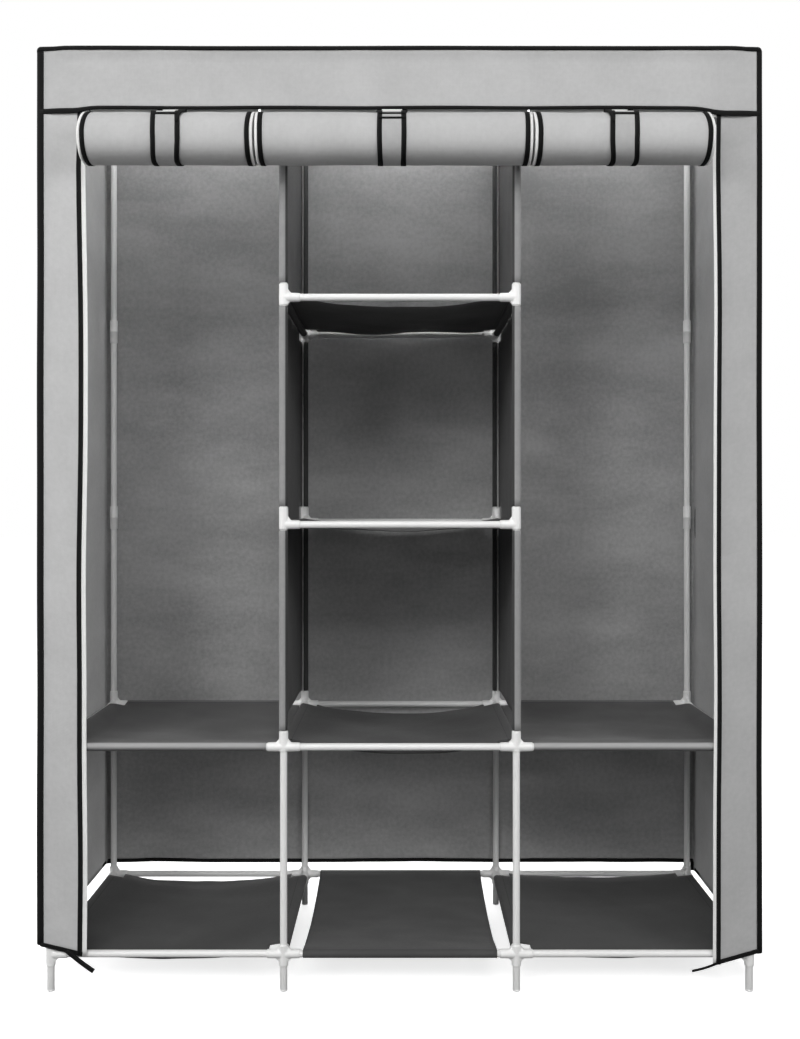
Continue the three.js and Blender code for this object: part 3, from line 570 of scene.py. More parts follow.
def shelf(name, level, low, high, on_depth_rails, seed, sags, material=shelf_cloth, inset=TUBE_R + 2 * MM, over=0):
    """One sling between x = low and high: three quarters of a loop round one rail, a parabola sag * (1 - share^2) below
    it, and three quarters of a loop round the other. sags holds the sag at the two open edges, the front or left one
    first. over is the side, -1 or 1, on which the cloth rises 45 mm from a depth rail and lies over it. The across
    places are set so that the corner cut-outs fall on them."""
    half, room = (POST_Y, (high - low) / 2) if not on_depth_rails else ((high - low) / 2, POST_Y)
    edge = room - (TUBE_R + 2 * MM if on_depth_rails else inset)
    past_rail = room + 6 * MM
    across = spread(-past_rail if over < 0 else -edge, past_rail if over > 0 else edge, 9 * MM,
                    (NOTCH - room, room - NOTCH))
    angle = np.linspace(0, -1.5 * np.pi, 25)
    loop = np.stack([-half + SLEEVE_R * np.cos(angle), SLEEVE_R * np.sin(angle), 0 * angle], axis=1)
    share = np.linspace(-1, 1, 61)[1:-1]
    between = np.stack([share * half, 0 * share + SLEEVE_R, 1 - share ** 2], axis=1)
    along, height, weight = np.concatenate([loop, between, loop[::-1] * [-1, 1, 1]]).T
    hang = eased(half - np.abs(along) - SLEEVE_R, 60 * MM)
    a, h = np.meshgrid(along, across)
    sag = np.interp(h, [-edge, edge], sags)
    z = LEVELS[level][0] + height - sag * weight + crumple(a, h, seed, 240 * MM, 1.3 * MM) * hang
    z = z - 2.5 * MM * hang * np.clip(np.abs(h) / edge, 0, 1) ** 6
    to_rail = room - over * h
    over_rail = LEVELS[level][0] + np.sqrt(np.clip(SLEEVE_R ** 2 - np.clip(-to_rail, 0, None) ** 2, 0, None))
    lift = eased(45 * MM - to_rail, 38 * MM) * (np.abs(a) < half - NOTCH) * abs(over)
    z = z + (over_rail - z) * lift
    across_x = (low + high) / 2
    middle = np.stack([a + across_x, h + SHIFT_Y, z] if on_depth_rails else [h + across_x, a + SHIFT_Y, z], axis=2)
    at_notch = np.abs((across[1:] + across[:-1]) / 2) > room - NOTCH
    in_corner = np.abs((along[1:] + along[:-1]) / 2) > half - NOTCH
    seam = np.abs(a) - (half - SLEEVE_R - 3.5 * MM)
    turned_under = np.abs(np.concatenate([angle + 1.5 * np.pi, 0 * share, angle[::-1] + 1.5 * np.pi])) * SLEEVE_R
    seam = np.where(turned_under > 0, SLEEVE_R + 3.5 * MM + turned_under, seam)
    # On the sleeve at the positive end of along, the back on the long rails, u runs on from 50 mm, so that this sleeve
    # takes the painted shadow.
    seam = seam + 50 * MM * (a > half - SLEEVE_R + 3.5 * MM)
    seam = np.stack([seam, h + 1], axis=2)
    made = cloth(f"{name}_cloth", middle, SHELF_CLOTH, material, ~(at_notch[:, None] & in_corner[None, :]),
                 {"seam": seam}, slot="shelf_cloth", node=name)


shelf("bottom_left_shelf", "bottom", -OUTER_X, -INNER_X, True, 11, (18 * MM, 19 * MM))
shelf("bottom_centre_shelf", "bottom", -INNER_X, INNER_X, False, 12, (16 * MM, 16 * MM), inset=35 * MM)
shelf("bottom_right_shelf", "bottom", INNER_X, OUTER_X, True, 13, (16 * MM, 11 * MM))
shelf("middle_left_shelf", "middle", -OUTER_X, -INNER_X, False, 14, (18 * MM, 18 * MM), side_shelf_cloth, over=-1)
shelf("middle_centre_shelf", "middle", -INNER_X, INNER_X, True, 15, (18 * MM, 25 * MM))
shelf("middle_right_shelf", "middle", INNER_X, OUTER_X, False, 16, (18 * MM, 18 * MM), side_shelf_cloth, over=1)
shelf("lower_tower_shelf", "lower_tower", -INNER_X, INNER_X, True, 17, (17 * MM, 17 * MM))
shelf("upper_tower_shelf", "upper_tower", -INNER_X, INNER_X, True, 18, (21 * MM, 1.5 * MM))

# Tower walls
# Two dark cloth walls, each sewn into a sleeve round the front and the back inner post,
# with a facing of pale cloth on the front sleeve, and cut away at the connectors' arms.
tower_cloth = spunbond("tower_wall_spunbond_cloth", "444444", "393939")
facing_cloth = spunbond("grey_spunbond_facing_cloth", "9d9d9d", "929292")


def tower_wall(name, sign, seed):
    """The wall's path seen from above: round the front post, straight back, and round the back post. The facing's
    is an arc over the front sleeve, from just inside its front to its outer side."""
    open_angle = math.radians(75)
    plane = SOCKET_R + 0.8 * MM
    angle = np.linspace(open_angle, 2 * np.pi, 25)
    front = np.stack([SLEEVE_R * np.cos(angle), -POST_Y + SLEEVE_R * np.sin(angle)], axis=1)
    run = spread(-POST_Y + ARM, POST_Y - ARM, 12 * MM)
    middle = np.stack([np.full(len(run), plane), run], axis=1)
    path = np.concatenate([front, middle, front[::-1] * [1, -1]])
    low, high = LEVELS["middle"][0] + LEVELS["middle"][1] + 1.2 * MM, TOP_Z - 20 * MM
    bands = [(z - down - 1.2 * MM, z + up + 1.2 * MM) for z, up, down in (LEVELS["lower_tower"], LEVELS["upper_tower"])]
    bands.append((TOP_Z - 46.2 * MM, TOP_Z))
    zs = spread(low, high, 14 * MM, [edge for band in bands for edge in band])
    height = (zs[1:] + zs[:-1]) / 2
    in_band = np.any([(height > a) & (height < b) for a, b in bands], axis=0)[:, None]
    u, z = np.meshgrid(np.arange(len(path)), zs)
    x, y = path[u, 0], path[u, 1]
    wave = crumple(y, z, seed, 300 * MM, 1.0 * MM) * eased(POST_Y - ARM - np.abs(y), 70 * MM)
    middle = np.stack([sign * (INNER_X + x + np.abs(wave)), y + SHIFT_Y, z], axis=2)
    at_post = np.abs((path[1:, 1] + path[:-1, 1]) / 2) > POST_Y - NOTCH
    made = cloth(f"{name}_cloth", middle, 0.8 * MM, tower_cloth, ~(in_band & at_post[None, :]), slot="tower_cloth",
                 node=name)
    turn, z = np.meshgrid(np.radians(np.linspace(242, 362, 14)), zs)
    r = SLEEVE_R + 0.9 * MM
    middle = np.stack([sign * (INNER_X + r * np.cos(turn)), r * np.sin(turn) - POST_Y + SHIFT_Y, z], axis=2)
    facing = cloth(f"{name}_facing_cloth", middle, 0.6 * MM, facing_cloth, np.broadcast_to(~in_band, (len(zs) - 1, 13)),
                   slot="tower_cloth")


tower_wall("left_tower_wall", -1, 21)
tower_wall("right_tower_wall", 1, 22)

# Cover
# One big bag of thin grey non-woven cloth over the frame: top, back, two sides, a valance
# across the front and two narrow flaps beside the doorway. Light shines through it.
HALF_WIDTH, HALF_DEPTH = 0.650, 0.225
FRONT_Y, BACK_Y = -HALF_DEPTH + SHIFT_Y, HALF_DEPTH + SHIFT_Y
COVER_TOP = 1.700
SIDE_HEMS, BACK_HEM = {"left": 0.088, "right": 0.073}, 0.091
COVER_CLOTH, SKIN = 1.0 * MM, 0.6 * MM
CORNER_R = 7 * MM
CORNER_REACH = (CORNER_R - SKIN) * math.pi / 4
cover_cloth = spunbond("grey_spunbond_cloth", "bfbfbf", "b4b4b4")
# The back's clouds are stretched sideways and spread wider in grey: partly the cloth's own uneven tone, and partly
# painted light and shade of its soft horizontal wrinkles.
back_cloth = spunbond("grey_spunbond_back_cloth", "c0c0c0", "a4a4a4", through=0.33, clouds=(280 * MM, 110 * MM))
side_cloth = spunbond("grey_spunbond_side_cloth", "d0d0d0", "c3c3c3", through=0.36)
thin_top_cloth = spunbond("grey_spunbond_top_cloth", "dcdcdc", "d2d2d2", through=0.88)


def places(low, high, step, round_low=True):
    """Places across a panel, close together where it bends round a corner: at its high end, and unless told
    otherwise at its low end too."""
    past = CORNER_REACH * np.array([0, 1 / 3, 2 / 3, 1])
    top = high - CORNER_R + past
    foot = low + CORNER_R - past[::-1] if round_low else np.array([low])
    return np.concatenate([foot[:-1], spread(foot[-1], top[0], step), top[1:]])


def bend(place, low, high):
    """Where a panel's places go as it bends 45 degrees round its corners: r sin(angle) along in place of the length
    gone by, and r (1 - cos(angle)) inward, r being the radius to the middle of the cloth."""
    r = CORNER_R - SKIN
    after, before = np.clip(place - high + CORNER_R, 0, None), np.clip(low + CORNER_R - place, 0, None)
    moved = place + r * np.sin(after / r) - after - r * np.sin(before / r) + before
    return moved, r * (2 - np.cos(after / r) - np.cos(before / r))


def brow(x):
    """How far the top edge stands out over the valance, between the corners."""
    return 5 * MM * eased(HALF_WIDTH - 15 * MM - np.abs(x), 40 * MM)


def over_rolls(x):
    """1 over the rolled doors and 0 over the flaps, with an easy change between."""
    return eased(x + 0.590, 50 * MM) * eased(0.580 - x, 50 * MM)


def valance_foot(x):
    """Height of the valance's lower edge: it rides up where the rolls push it out, and is lowest at the right."""
    return 1.5832 + 3.1 * MM * over_rolls(x) - 4.5 * MM * eased(x - 0.5, 0.1) + 0.5 * MM * np.sin(x * 21)


def valance_out(x, share):
    """How far the valance stands out at a share of its height: most at its foot, over the rolls."""
    flush = eased(HALF_WIDTH - 11 * MM - np.abs(x), 30 * MM)
    return flush * ((3.0 * MM + 6.0 * MM * over_rolls(x)) * (1 - share) ** 2 + 0.5 * MM * np.sin(np.pi * share))


def cover_panel(name, middle, material):
    """A panel of the cover: a closed cloth on its grid."""
    made = cloth(f"{name}_cloth", middle, COVER_CLOTH, material, slot="cover_cloth", node=name)


x, y = np.meshgrid(places(-HALF_WIDTH, HALF_WIDTH, 14 * MM), places(FRONT_Y, BACK_Y, 14 * MM))
bay = np.abs(np.cos(np.pi * (x + OUTER_X) / BAY + np.pi / 2))
bay = bay * np.clip(np.cos(np.pi * (y - SHIFT_Y) / (2 * POST_Y)), 0, 1)
x_at, x_in = bend(x, -HALF_WIDTH, HALF_WIDTH)
y_at, y_in = bend(y, FRONT_Y, BACK_Y)
y_at = y_at - brow(x) * eased(FRONT_Y + 40 * MM - y, 40 * MM)
z = COVER_TOP - SKIN - x_in - y_in - 5 * MM * bay + crumple(x, y, 31, 200 * MM, 0.8 * MM) * bay
cover_panel("top_panel", np.stack([x_at, y_at, z], axis=2), thin_top_cloth)


def back_out(x, z):
    """How far the back panel stands out behind its plane: loose between the posts and below its top seam."""
    free = eased(HALF_WIDTH - CORNER_R - np.abs(x), 60 * MM) * eased(COVER_TOP - CORNER_R - z, 60 * MM)
    post_near = np.min([np.abs(x - px) for px in POST_XS.values()], axis=0)
    wave = crumple(x, z, 32, 420 * MM, 2.6 * MM) + crumple(x, z, 33, 110 * MM, 0.9 * MM, lean=0.5)
    return np.maximum((2.2 * MM + wave) * free * (0.25 + 0.75 * eased(post_near, 90 * MM)), 0)


x, z = np.meshgrid(places(-HALF_WIDTH, HALF_WIDTH, 11 * MM), places(BACK_HEM, COVER_TOP, 11 * MM, round_low=False))
x_at, x_in = bend(x, -HALF_WIDTH, HALF_WIDTH)
z_at, z_in = bend(z, -1.0, COVER_TOP)
y = BACK_Y - SKIN + back_out(x, z) - x_in - z_in
cover_panel("back_panel", np.stack([x_at, y, z_at], axis=2), back_cloth)

for name, sign, seed in (("left", -1, 34), ("right", 1, 35)):
    y, z = np.meshgrid(places(FRONT_Y, BACK_Y, 11 * MM), places(SIDE_HEMS[name], COVER_TOP, 11 * MM, round_low=False))
    y_at, y_in = bend(y, FRONT_Y, BACK_Y)
    z_at, z_in = bend(z, -1.0, COVER_TOP)
    free = eased(HALF_DEPTH - CORNER_R - np.abs(y - SHIFT_Y), 50 * MM) * eased(COVER_TOP - CORNER_R - z, 60 * MM)
    wave = crumple(y, z, seed, 380 * MM, 1.6 * MM) + crumple(y, z, seed + 100, 100 * MM, 0.5 * MM)
    x = sign * (HALF_WIDTH - SKIN + (wave - 1.5 * MM) * free - y_in - z_in)
    cover_panel(f"{name}_side_panel", np.stack([x, y_at, z_at], axis=2), side_cloth)

share = np.concatenate([np.linspace(0, 0.94, 15), [0.96, 0.98, 1]])
x, share = np.meshgrid(places(-HALF_WIDTH, HALF_WIDTH, 10 * MM), share)
z = valance_foot(x) + (COVER_TOP - CORNER_R + CORNER_REACH - valance_foot(x)) * share
x_at, x_in = bend(x, -HALF_WIDTH, HALF_WIDTH)
z_at, z_in = bend(z, -1.0, COVER_TOP)
wave = crumple(x, z, 36, 260 * MM, 0.9 * MM) * eased(HALF_WIDTH - CORNER_R - np.abs(x), 60 * MM)
wave = wave * np.sin(np.pi * share) ** 0.5
y = FRONT_Y + SKIN - valance_out(x, share) - np.abs(wave) - brow(x) * eased(z - 1.676, 15 * MM) + x_in + z_in
cover_panel("front_valance", np.stack([x_at, y, z_at], axis=2), cover_cloth)

FLAP_TOP = 1.5887
# (side, width, foot at its outer corner, how much lower its inner corner hangs, width of its zip tape and of its
# binding, greys of its cloth, seed). The left flap's greys are lighter than the right's: painted light, for light
# that falls more from the left.
FLAPS = {"left": (-1, 87.0 * MM, 0.085, 19 * MM, 7.6 * MM, 8.6 * MM, ("c8c8c8", "bdbdbd"), 37),
         "right": (1, 87.0 * MM, 0.0735, 23 * MM, 5.4 * MM, 7.8 * MM, ("b7b7b7", "acacac"), 38)}


def flap_edge(z, seed):
    """How far a flap's free edge strays sideways at height z, in metres."""
    return crumple(z, 0 * z, seed, 0.9, 1.3 * MM, count=9) * eased(1.57 - z, 0.1)


for name, (sign, width, outer_foot, drop, tape, binding, greys, seed) in FLAPS.items():
    xs = places(HALF_WIDTH - width + tape, HALF_WIDTH, 8 * MM, round_low=False)
    x, v = np.meshgrid(xs, np.linspace(0, 1, 150))
    foot = outer_foot - drop * (HALF_WIDTH - x) / width
    z = foot + (FLAP_TOP - foot) * v
    inward = np.clip((HALF_WIDTH - CORNER_R - x) / (width - tape - CORNER_R), 0, 1)
    x_at, x_in = bend(x, -1.0, HALF_WIDTH)
    y = FRONT_Y + SKIN + np.abs(crumple(x, z, seed + 50, 330 * MM, 0.9 * MM)) * eased(inward, 0.4) + x_in
    cover_panel(f"{name}_front_flap", np.stack([sign * (x_at + inward * flap_edge(z, seed)), y, z], axis=2),
                spunbond(f"{name}_flap_spunbond_cloth", *greys))

# Binding and zip tape
# Black woven tape over every edge of the bag and folded round every raw edge, sewn
# through, and white zip tape with a nylon coil at the free edges of the flaps.


def strip_profile(width, thickness, points=14):
    """A flat strip's section: the closed curve |x/a|^5 + |y/b|^2.5 = 1, as (across, up) pairs."""
    angle = np.linspace(0, 2 * np.pi, points, endpoint=False) + np.pi / points
    c, s = np.cos(angle), np.sin(angle)
    return np.stack([width / 2 * np.sign(c) * np.abs(c) ** 0.4, thickness / 2 * np.sign(s) * np.abs(s) ** 0.8], axis=1)


def carried(name, profile, path, side, up, material, closed=False, widths=1.0, **options):
    """A profile carried along a path: point = path + side * across * width + up * height, for unit vectors side and up
    and a width at each place. Its last half mirrors its first, so quads between them close the open ends. Its map
    holds metres across and along."""
    path = np.asarray(path, float)
    side, up = (np.broadcast_to(np.asarray(vector, float), path.shape) for vector in (side, up))
    across = profile[None, :, 0] * np.broadcast_to(widths, len(path))[:, None]
    points = path[:, None] + side[:, None] * across[:, :, None] + up[:, None] * profile[None, :, 1, None]
    rows, columns = points.shape[:2]
    faces = grid_faces(rows, columns, close_rows=closed, close_columns=True)
    run = np.concatenate([[0], np.cumsum(np.linalg.norm(np.diff(path, axis=0), axis=1))])
    chart = np.stack(np.broadcast_arrays(profile[None, :, 0], run[:, None]), axis=2).reshape(-1, 2)
    if not closed:
        k = np.arange(columns // 2 - 1)
        cap = np.stack([k, k + 1, columns - 2 - k, columns - 1 - k], axis=1)
        faces = np.concatenate([faces, cap[:, ::-1], cap + (rows - 1) * columns])
    return piece(name, points, faces, material, maps={"cloth": chart}, **options)


def woven_tape(name, pale, dark, rib, stitched):
    """Narrow woven polyester: fine ribs across it, and where it is folded over an edge a row of stitches along it."""
    material, tree = bare_material(name)
    place = add_node(tree, "UVMap", uv_map="cloth")
    across, along = add_node(tree, "SeparateXYZ", {0: place}).outputs[:2]
    ribs = add_node(tree, "Math", {0: along, 1: 2 * math.pi / rib}, operation="MULTIPLY")
    ribs = add_node(tree, "Math", {0: ribs}, operation="SINE")
    fuzz = add_node(tree, "TexNoise", {"Vector": place, "Scale": 1 / (3 * MM), "Detail": 4.0}, noise_dimensions="2D")
    colour = add_node(tree, "Mix", {0: fuzz, 6: linear(dark), 7: linear(pale)}, data_type="RGBA").outputs[2]
    top = add_node(tree, "Math", {0: ribs, 1: 0.3, 2: fuzz}, operation="MULTIPLY_ADD")
    if stitched:
        away = add_node(tree, "Math", {0: across, 1: 2.2 * MM}, operation="ADD")
        away = add_node(tree, "Math", {0: away}, operation="ABSOLUTE")
        near = add_node(tree, "Math", {0: away, 1: 0.5 * MM}, operation="LESS_THAN")
        thread = stitches(tree, near, along, 3.2 * MM, 0.75)
        colour = add_node(tree, "Mix", {0: thread, 6: colour, 7: linear("262626")}, data_type="RGBA").outputs[2]
        top = add_node(tree, "Math", {0: thread, 1: 1.5, 2: top}, operation="MULTIPLY_ADD")
    bump = add_node(tree, "Bump", {"Height": top, "Strength": 0.6, "Distance": 0.15 * MM})
    skin = add_node(tree, "BsdfPrincipled", {"Base Color": colour, "Roughness": 0.78, "IOR": 1.5,
                    "Specular IOR Level": 0.12, "Normal": bump})
    add_node(tree, "OutputMaterial", {"Surface": skin})
    return material


black_binding = woven_tape("black_woven_binding", "121212", "080808", 1.6 * MM, True)
white_zip_tape = woven_tape("white_woven_zip_tape", "f7f7f6", "ececea", 1.1 * MM, False)
BINDING = strip_profile(8.5 * MM, 2.6 * MM)


def cover_tape(name, profile, path, side, up, material=black_binding, **options):
    """A strip sewn along an edge of the cover."""
    carried(name, profile, path, side, up, material, slot="cover_cloth", **options)


def corner_tape(proud_side, proud_up, tail, depth=2.5 * MM):
    """The section of the tape round an edge of the bag: an arc about the middle of the edge's curve, standing
    proud_side and proud_up out of the two faces, with a straight tail on each, and the same again at a depth
    inside the curve."""
    arc = np.radians(np.linspace(0, 90, 9))
    outer = np.stack([(CORNER_R + proud_side) * np.cos(arc), (CORNER_R + proud_up) * np.sin(arc)], axis=1)
    outer = np.concatenate([outer[:1] - [0, tail], outer, outer[-1:] - [tail, 0]])
    inner = (CORNER_R - depth) * np.stack([np.cos(arc), np.sin(arc)], axis=1)
    inner = np.concatenate([inner[:1] - [0, tail], inner, inner[-1:] - [tail, 0]])
    return np.concatenate([outer, inner[::-1]])


loop = []
for cx, cy, start in ((1, 1, 0), (-1, 1, 90), (-1, -1, 180), (1, -1, 270)):
    for angle in np.radians(np.linspace(start, start + 90, 7)):
        loop.append((cx * (HALF_WIDTH - CORNER_R), cy * (HALF_DEPTH - CORNER_R) + SHIFT_Y, np.cos(angle),
                     np.sin(angle)))
loop = np.array(loop)
fine = []
for a, b in zip(loop, np.roll(loop, -1, axis=0)):
    count = max(1, round(np.linalg.norm(b[:2] - a[:2]) / 0.02))
    fine += [a + (b - a) * t for t in np.arange(count) / count]
x, y, out_x, out_y = np.array(fine).T
x = np.where(x < CORNER_R - HALF_WIDTH + MM, x - 2.4 * MM, x)
y = y - np.where(y < SHIFT_Y - 0.2, brow(x), 0)
level = COVER_TOP - CORNER_R + crumple(x, y, 60, 0.7, 0.4 * MM, count=8)
cover_tape("top_edge_tape", corner_tape(1.6 * MM, 1.0 * MM, 2.2 * MM), np.column_stack([x, y, level]),
           np.column_stack([out_x, out_y, 0 * x]), (0, 0, 1), closed=True)
for name, sx, sy in (("left_front", -1, -1), ("right_front", 1, -1), ("left_back", -1, 1), ("right_back", 1, 1)):
    zs = spread(SIDE_HEMS[name.split("_")[0]] - 2 * MM, COVER_TOP - CORNER_R, 18 * MM)
    xs = sx * (HALF_WIDTH - CORNER_R + crumple(zs, 0 * zs, 61 + sx + 2 * sy, 0.7, 0.5 * MM, count=8))
    ys = np.full(len(zs), sy * (HALF_DEPTH - CORNER_R) + SHIFT_Y)
    section = corner_tape(4.0 * MM if sx < 0 else 2.2 * MM, 1.2 * MM, 3.2 * MM if sx < 0 else 2.4 * MM,
                          2.5 * MM if sy < 0 else 0.3 * MM)
    cover_tape(f"{name}_corner_tape", section, np.column_stack([xs, ys, zs]), (sx, 0, 0), (0, sy, 0))

reach = HALF_WIDTH - 3 * MM
xs = spread(-reach, reach, 12 * MM)
path = np.column_stack([xs, FRONT_Y - 0.3 * MM - valance_out(xs, 0), valance_foot(xs)])
cover_tape("valance_binding", strip_profile(9.2 * MM, 2.4 * MM), path, (0, 0, -1), (0, -1, 0),
           widths=1 - 0.3 * over_rolls(xs))
path = np.column_stack([xs, BACK_Y - SKIN + back_out(xs, 0 * xs + BACK_HEM), 0 * xs + BACK_HEM + 2 * MM])
cover_tape("back_hem_binding", BINDING, path, (0, 0, -1), (0, 1, 0))
for name, sign in (("left", -1), ("right", 1)):
    ys = spread(FRONT_Y + 4 * MM, BACK_Y - 4 * MM, 12 * MM)
    path = np.column_stack([0 * ys + sign * (HALF_WIDTH - SKIN), ys, 0 * ys + SIDE_HEMS[name] + 2 * MM])
    cover_tape(f"{name}_side_hem_binding", BINDING, path, (0, 0, -1), (sign, 0, 0))

for name, (sign, width, outer_foot, drop, tape, binding, _, seed) in FLAPS.items():
    zs = spread(outer_foot - drop + MM, FLAP_TOP, 12 * MM)
    edge = HALF_WIDTH - width + flap_edge(zs, seed)
    for part, at, forward, profile, material in (
            ("flap_edge_binding", tape + binding / 2, 0.2 * MM, strip_profile(binding, 2.6 * MM), black_binding),
            ("flap_zip_tape", tape / 2, -0.1 * MM, strip_profile(tape, 0.9 * MM), white_zip_tape),
            ("flap_zip_coil", 0.2 * MM, 0.2 * MM, strip_profile(1.9 * MM, 1.9 * MM, 10), white_zip_tape)):
        path = np.column_stack([sign * (edge + at), 0 * zs + FRONT_Y - forward, zs])
        cover_tape(f"{name}_{part}", profile, path, (sign, 0, 0), (0, -1, 0), material)
    share = np.linspace(0, 1, 9)
    foot_x = HALF_WIDTH - 5 * MM - share * (width - tape - 5 * MM)
    foot_z = outer_foot - drop * share * 0.95
    direction = np.array([foot_x[-1] - foot_x[0], 0, foot_z[-1] - foot_z[0]])
    direction /= np.linalg.norm(direction)
    path = np.column_stack([sign * foot_x, 0 * share + FRONT_Y - 0.1 * MM, foot_z + 2.6 * MM])
    cover_tape(f"{name}_flap_hem_binding", strip_profile(7.8 * MM, 2.6 * MM), path,
               (sign * direction[2], 0, -direction[0]), (0, -1, 0))

# The loose ends of the hem tape, left hanging at the two inner corners
TAILS = {"left": ((-0.598, 0.0770), (-0.548, 0.0420), 9.0 * MM), "right": ((0.569, 0.0540), (0.5225, 0.0425), 4.6 * MM)}
for name, ((x0, z0), (x1, z1), width) in TAILS.items():
    t = np.linspace(0, 1, 12)
    path = np.column_stack([x0 + (x1 - x0) * t, FRONT_Y - 2.2 * MM - 5 * MM * t ** 2,
                            z0 + (z1 - z0) * t - 2 * MM * np.sin(np.pi * t)])
    direction = np.array([x1 - x0, 0, z1 - z0]) / math.hypot(x1 - x0, z1 - z0)
    cover_tape(f"{name}_hem_tape_tail", strip_profile(width, 1.4 * MM), path, (direction[2], 0, -direction[0]),
               (0, -1, 0))

# Doors
# Three sheets of the same grey cloth, sewn in behind the valance. Each is rolled up
# outwards; its side edges carry white zip tape outside a black binding.
CURTAIN_Y, CURTAIN_TOP = -0.2261 + SHIFT_Y, 1.5885
ROLL_Y, ROLL_Z = -0.2706 + SHIFT_Y, 1.519
ROLL_LINE_R, ROLL_CORE_R = 44.5 * MM, 8 * MM
DOOR_CLOTH = 1.0 * MM
# (left end, right end, middle of its strap, how far its top leans sideways at the left end and at the right end)
DOORS = {"left": (-0.555, -0.254, -0.403, 8 * MM, 4 * MM), "centre": (-0.250, 0.229, -0.014, 0, 0),
         "right": (0.233, 0.5425, 0.386, -4 * MM, -8 * MM)}
TAPE_WIDTH, EDGE_WIDTH = 5.0 * MM, 8.2 * MM
DRAWN_IN = 0.03
DOOR_FOOT, ROLLED_LENGTH = 0.062, 1.457
door_cloth = spunbond("pale_grey_spunbond_door_cloth", "c6c6c6", "bcbcbc")
turns = (ROLL_Z - DOOR_FOOT) / (math.pi * (ROLL_LINE_R + ROLL_CORE_R))
roll_angle = np.linspace(0, 2 * np.pi * turns, round(turns * 44) + 1)


def fullness(angle):
    """How a roll's section differs from a circle, being a little square: (|cos|^n + |sin|^n)^(-1/n), n = 2.35."""
    return (np.abs(np.cos(angle)) ** 2.35 + np.abs(np.sin(angle)) ** 2.35) ** (-1 / 2.35)


def leaning(x, z, door):
    """x moved sideways by the door's lean: none at the axis, all of it at the top of the roll."""
    low, high, strap, lean_low, lean_high = DOORS[door]
    return x + np.interp(x, [low, high], [lean_low, lean_high]) * np.clip((z - ROLL_Z) / ROLL_LINE_R, 0, 1) ** 1.5


def wound(name, door, low, high, thickness, material, extra=0.0, seed=None, **options):
    """A band of the roll from x = low to high, seen from its end a spiral whose radius falls evenly with the angle,
    from the back of the roll down under it and up its front. The strap draws it in, and every turn has some slack."""
    xs = spread(low, high, 14 * MM)
    angle, x = np.meshgrid(roll_angle, xs)
    radius = (ROLL_LINE_R + (ROLL_CORE_R - ROLL_LINE_R) * angle / roll_angle[-1]) * fullness(angle) + extra
    radius = radius * (1 - DRAWN_IN * np.exp(-((x - DOORS[door][2]) / (34 * MM)) ** 2))
    if seed:
        radius = radius + crumple(x, angle * 0.02, seed, 160 * MM, 0.35 * MM)
    z = ROLL_Z - radius * np.sin(angle)
    return cloth(name, np.stack([leaning(x, z, door), ROLL_Y + radius * np.cos(angle), z], axis=2), thickness, material,
                 slot="door_cloth", **options)


for number, (name, (low, high, *_)) in enumerate(DOORS.items()):
    body, joint = f"{name}_door", f"{name}_door_unroll"
    edge = TAPE_WIDTH + EDGE_WIDTH
    x, z = np.meshgrid(spread(low, high, 10 * MM), np.linspace(ROLL_Z + 0.4 * MM, CURTAIN_TOP, 160))
    middle = np.stack([x, np.full(x.shape, CURTAIN_Y), z], axis=2)
    curtain = cloth(f"{name}_door_curtain_cloth", middle, DOOR_CLOTH, door_cloth, slot="door_cloth", body=None,
                    node=f"{name}_door_curtain")
    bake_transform(curtain)

    roll = wound(f"{name}_door_roll_cloth", name, low + TAPE_WIDTH, high - TAPE_WIDTH, DOOR_CLOTH, door_cloth,
                 seed=71 + number, body=body, node=f"{name}_door_roll")
    trims = []
    for end, sign, at in (("left", 1, low), ("right", -1, high)):
        a, b = sorted((at, at + sign * TAPE_WIDTH))
        trims.append(wound(f"{name}_door_roll_{end}_tape", name, a, b, 0.9 * MM, white_zip_tape, 0.5 * MM, body=body))
        a, b = sorted((at + sign * TAPE_WIDTH, at + sign * edge))
        trims.append(wound(f"{name}_door_roll_{end}_binding", name, a, b, 2.4 * MM, black_binding, 0.3 * MM, body=body))
    for part in [roll, *trims]:
        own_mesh(part)

# Tie straps
# A strap of the same cloth, bound black down both sides, hangs behind each roll, comes
# up its front, and is tied to a white bar under the valance.
STRAP_R, STRAP_WIDTH, STRAP_LENGTH = 45.7 * MM, 50 * MM, 0.308
STRAP_TOP = math.radians(257)
BAR_R, BAR_AT, TAB_TOP = 1.8 * MM, (-0.2500 + SHIFT_Y, 1.5758), 1.5830
strap_cloth = spunbond("grey_spunbond_strap_cloth", "bababa", "afafaf")


def strap_path():
    """The strap seen from its side, and at each place its angle round the roll: down behind the roll, under it, up
    its front to just past its top, and back to the bar."""
    r = STRAP_R * (1 - DRAWN_IN)
    angle = np.linspace(0, STRAP_TOP, 58)
    radius = r * fullness(angle)
    round_roll = np.stack([ROLL_Y + radius * np.cos(angle), ROLL_Z - radius * np.sin(angle)], axis=1)
    down = np.stack([np.full(10, ROLL_Y + r), np.linspace(FLAP_TOP, ROLL_Z, 11)[:-1]], axis=1)
    to_bar = round_roll[-1] + (np.array(BAR_AT) - [0, BAR_R] - round_roll[-1]) * np.linspace(0, 1, 7)[1:, None]
    return np.concatenate([down, round_roll, to_bar]), np.concatenate([np.zeros(10), angle, np.full(6, STRAP_TOP)])


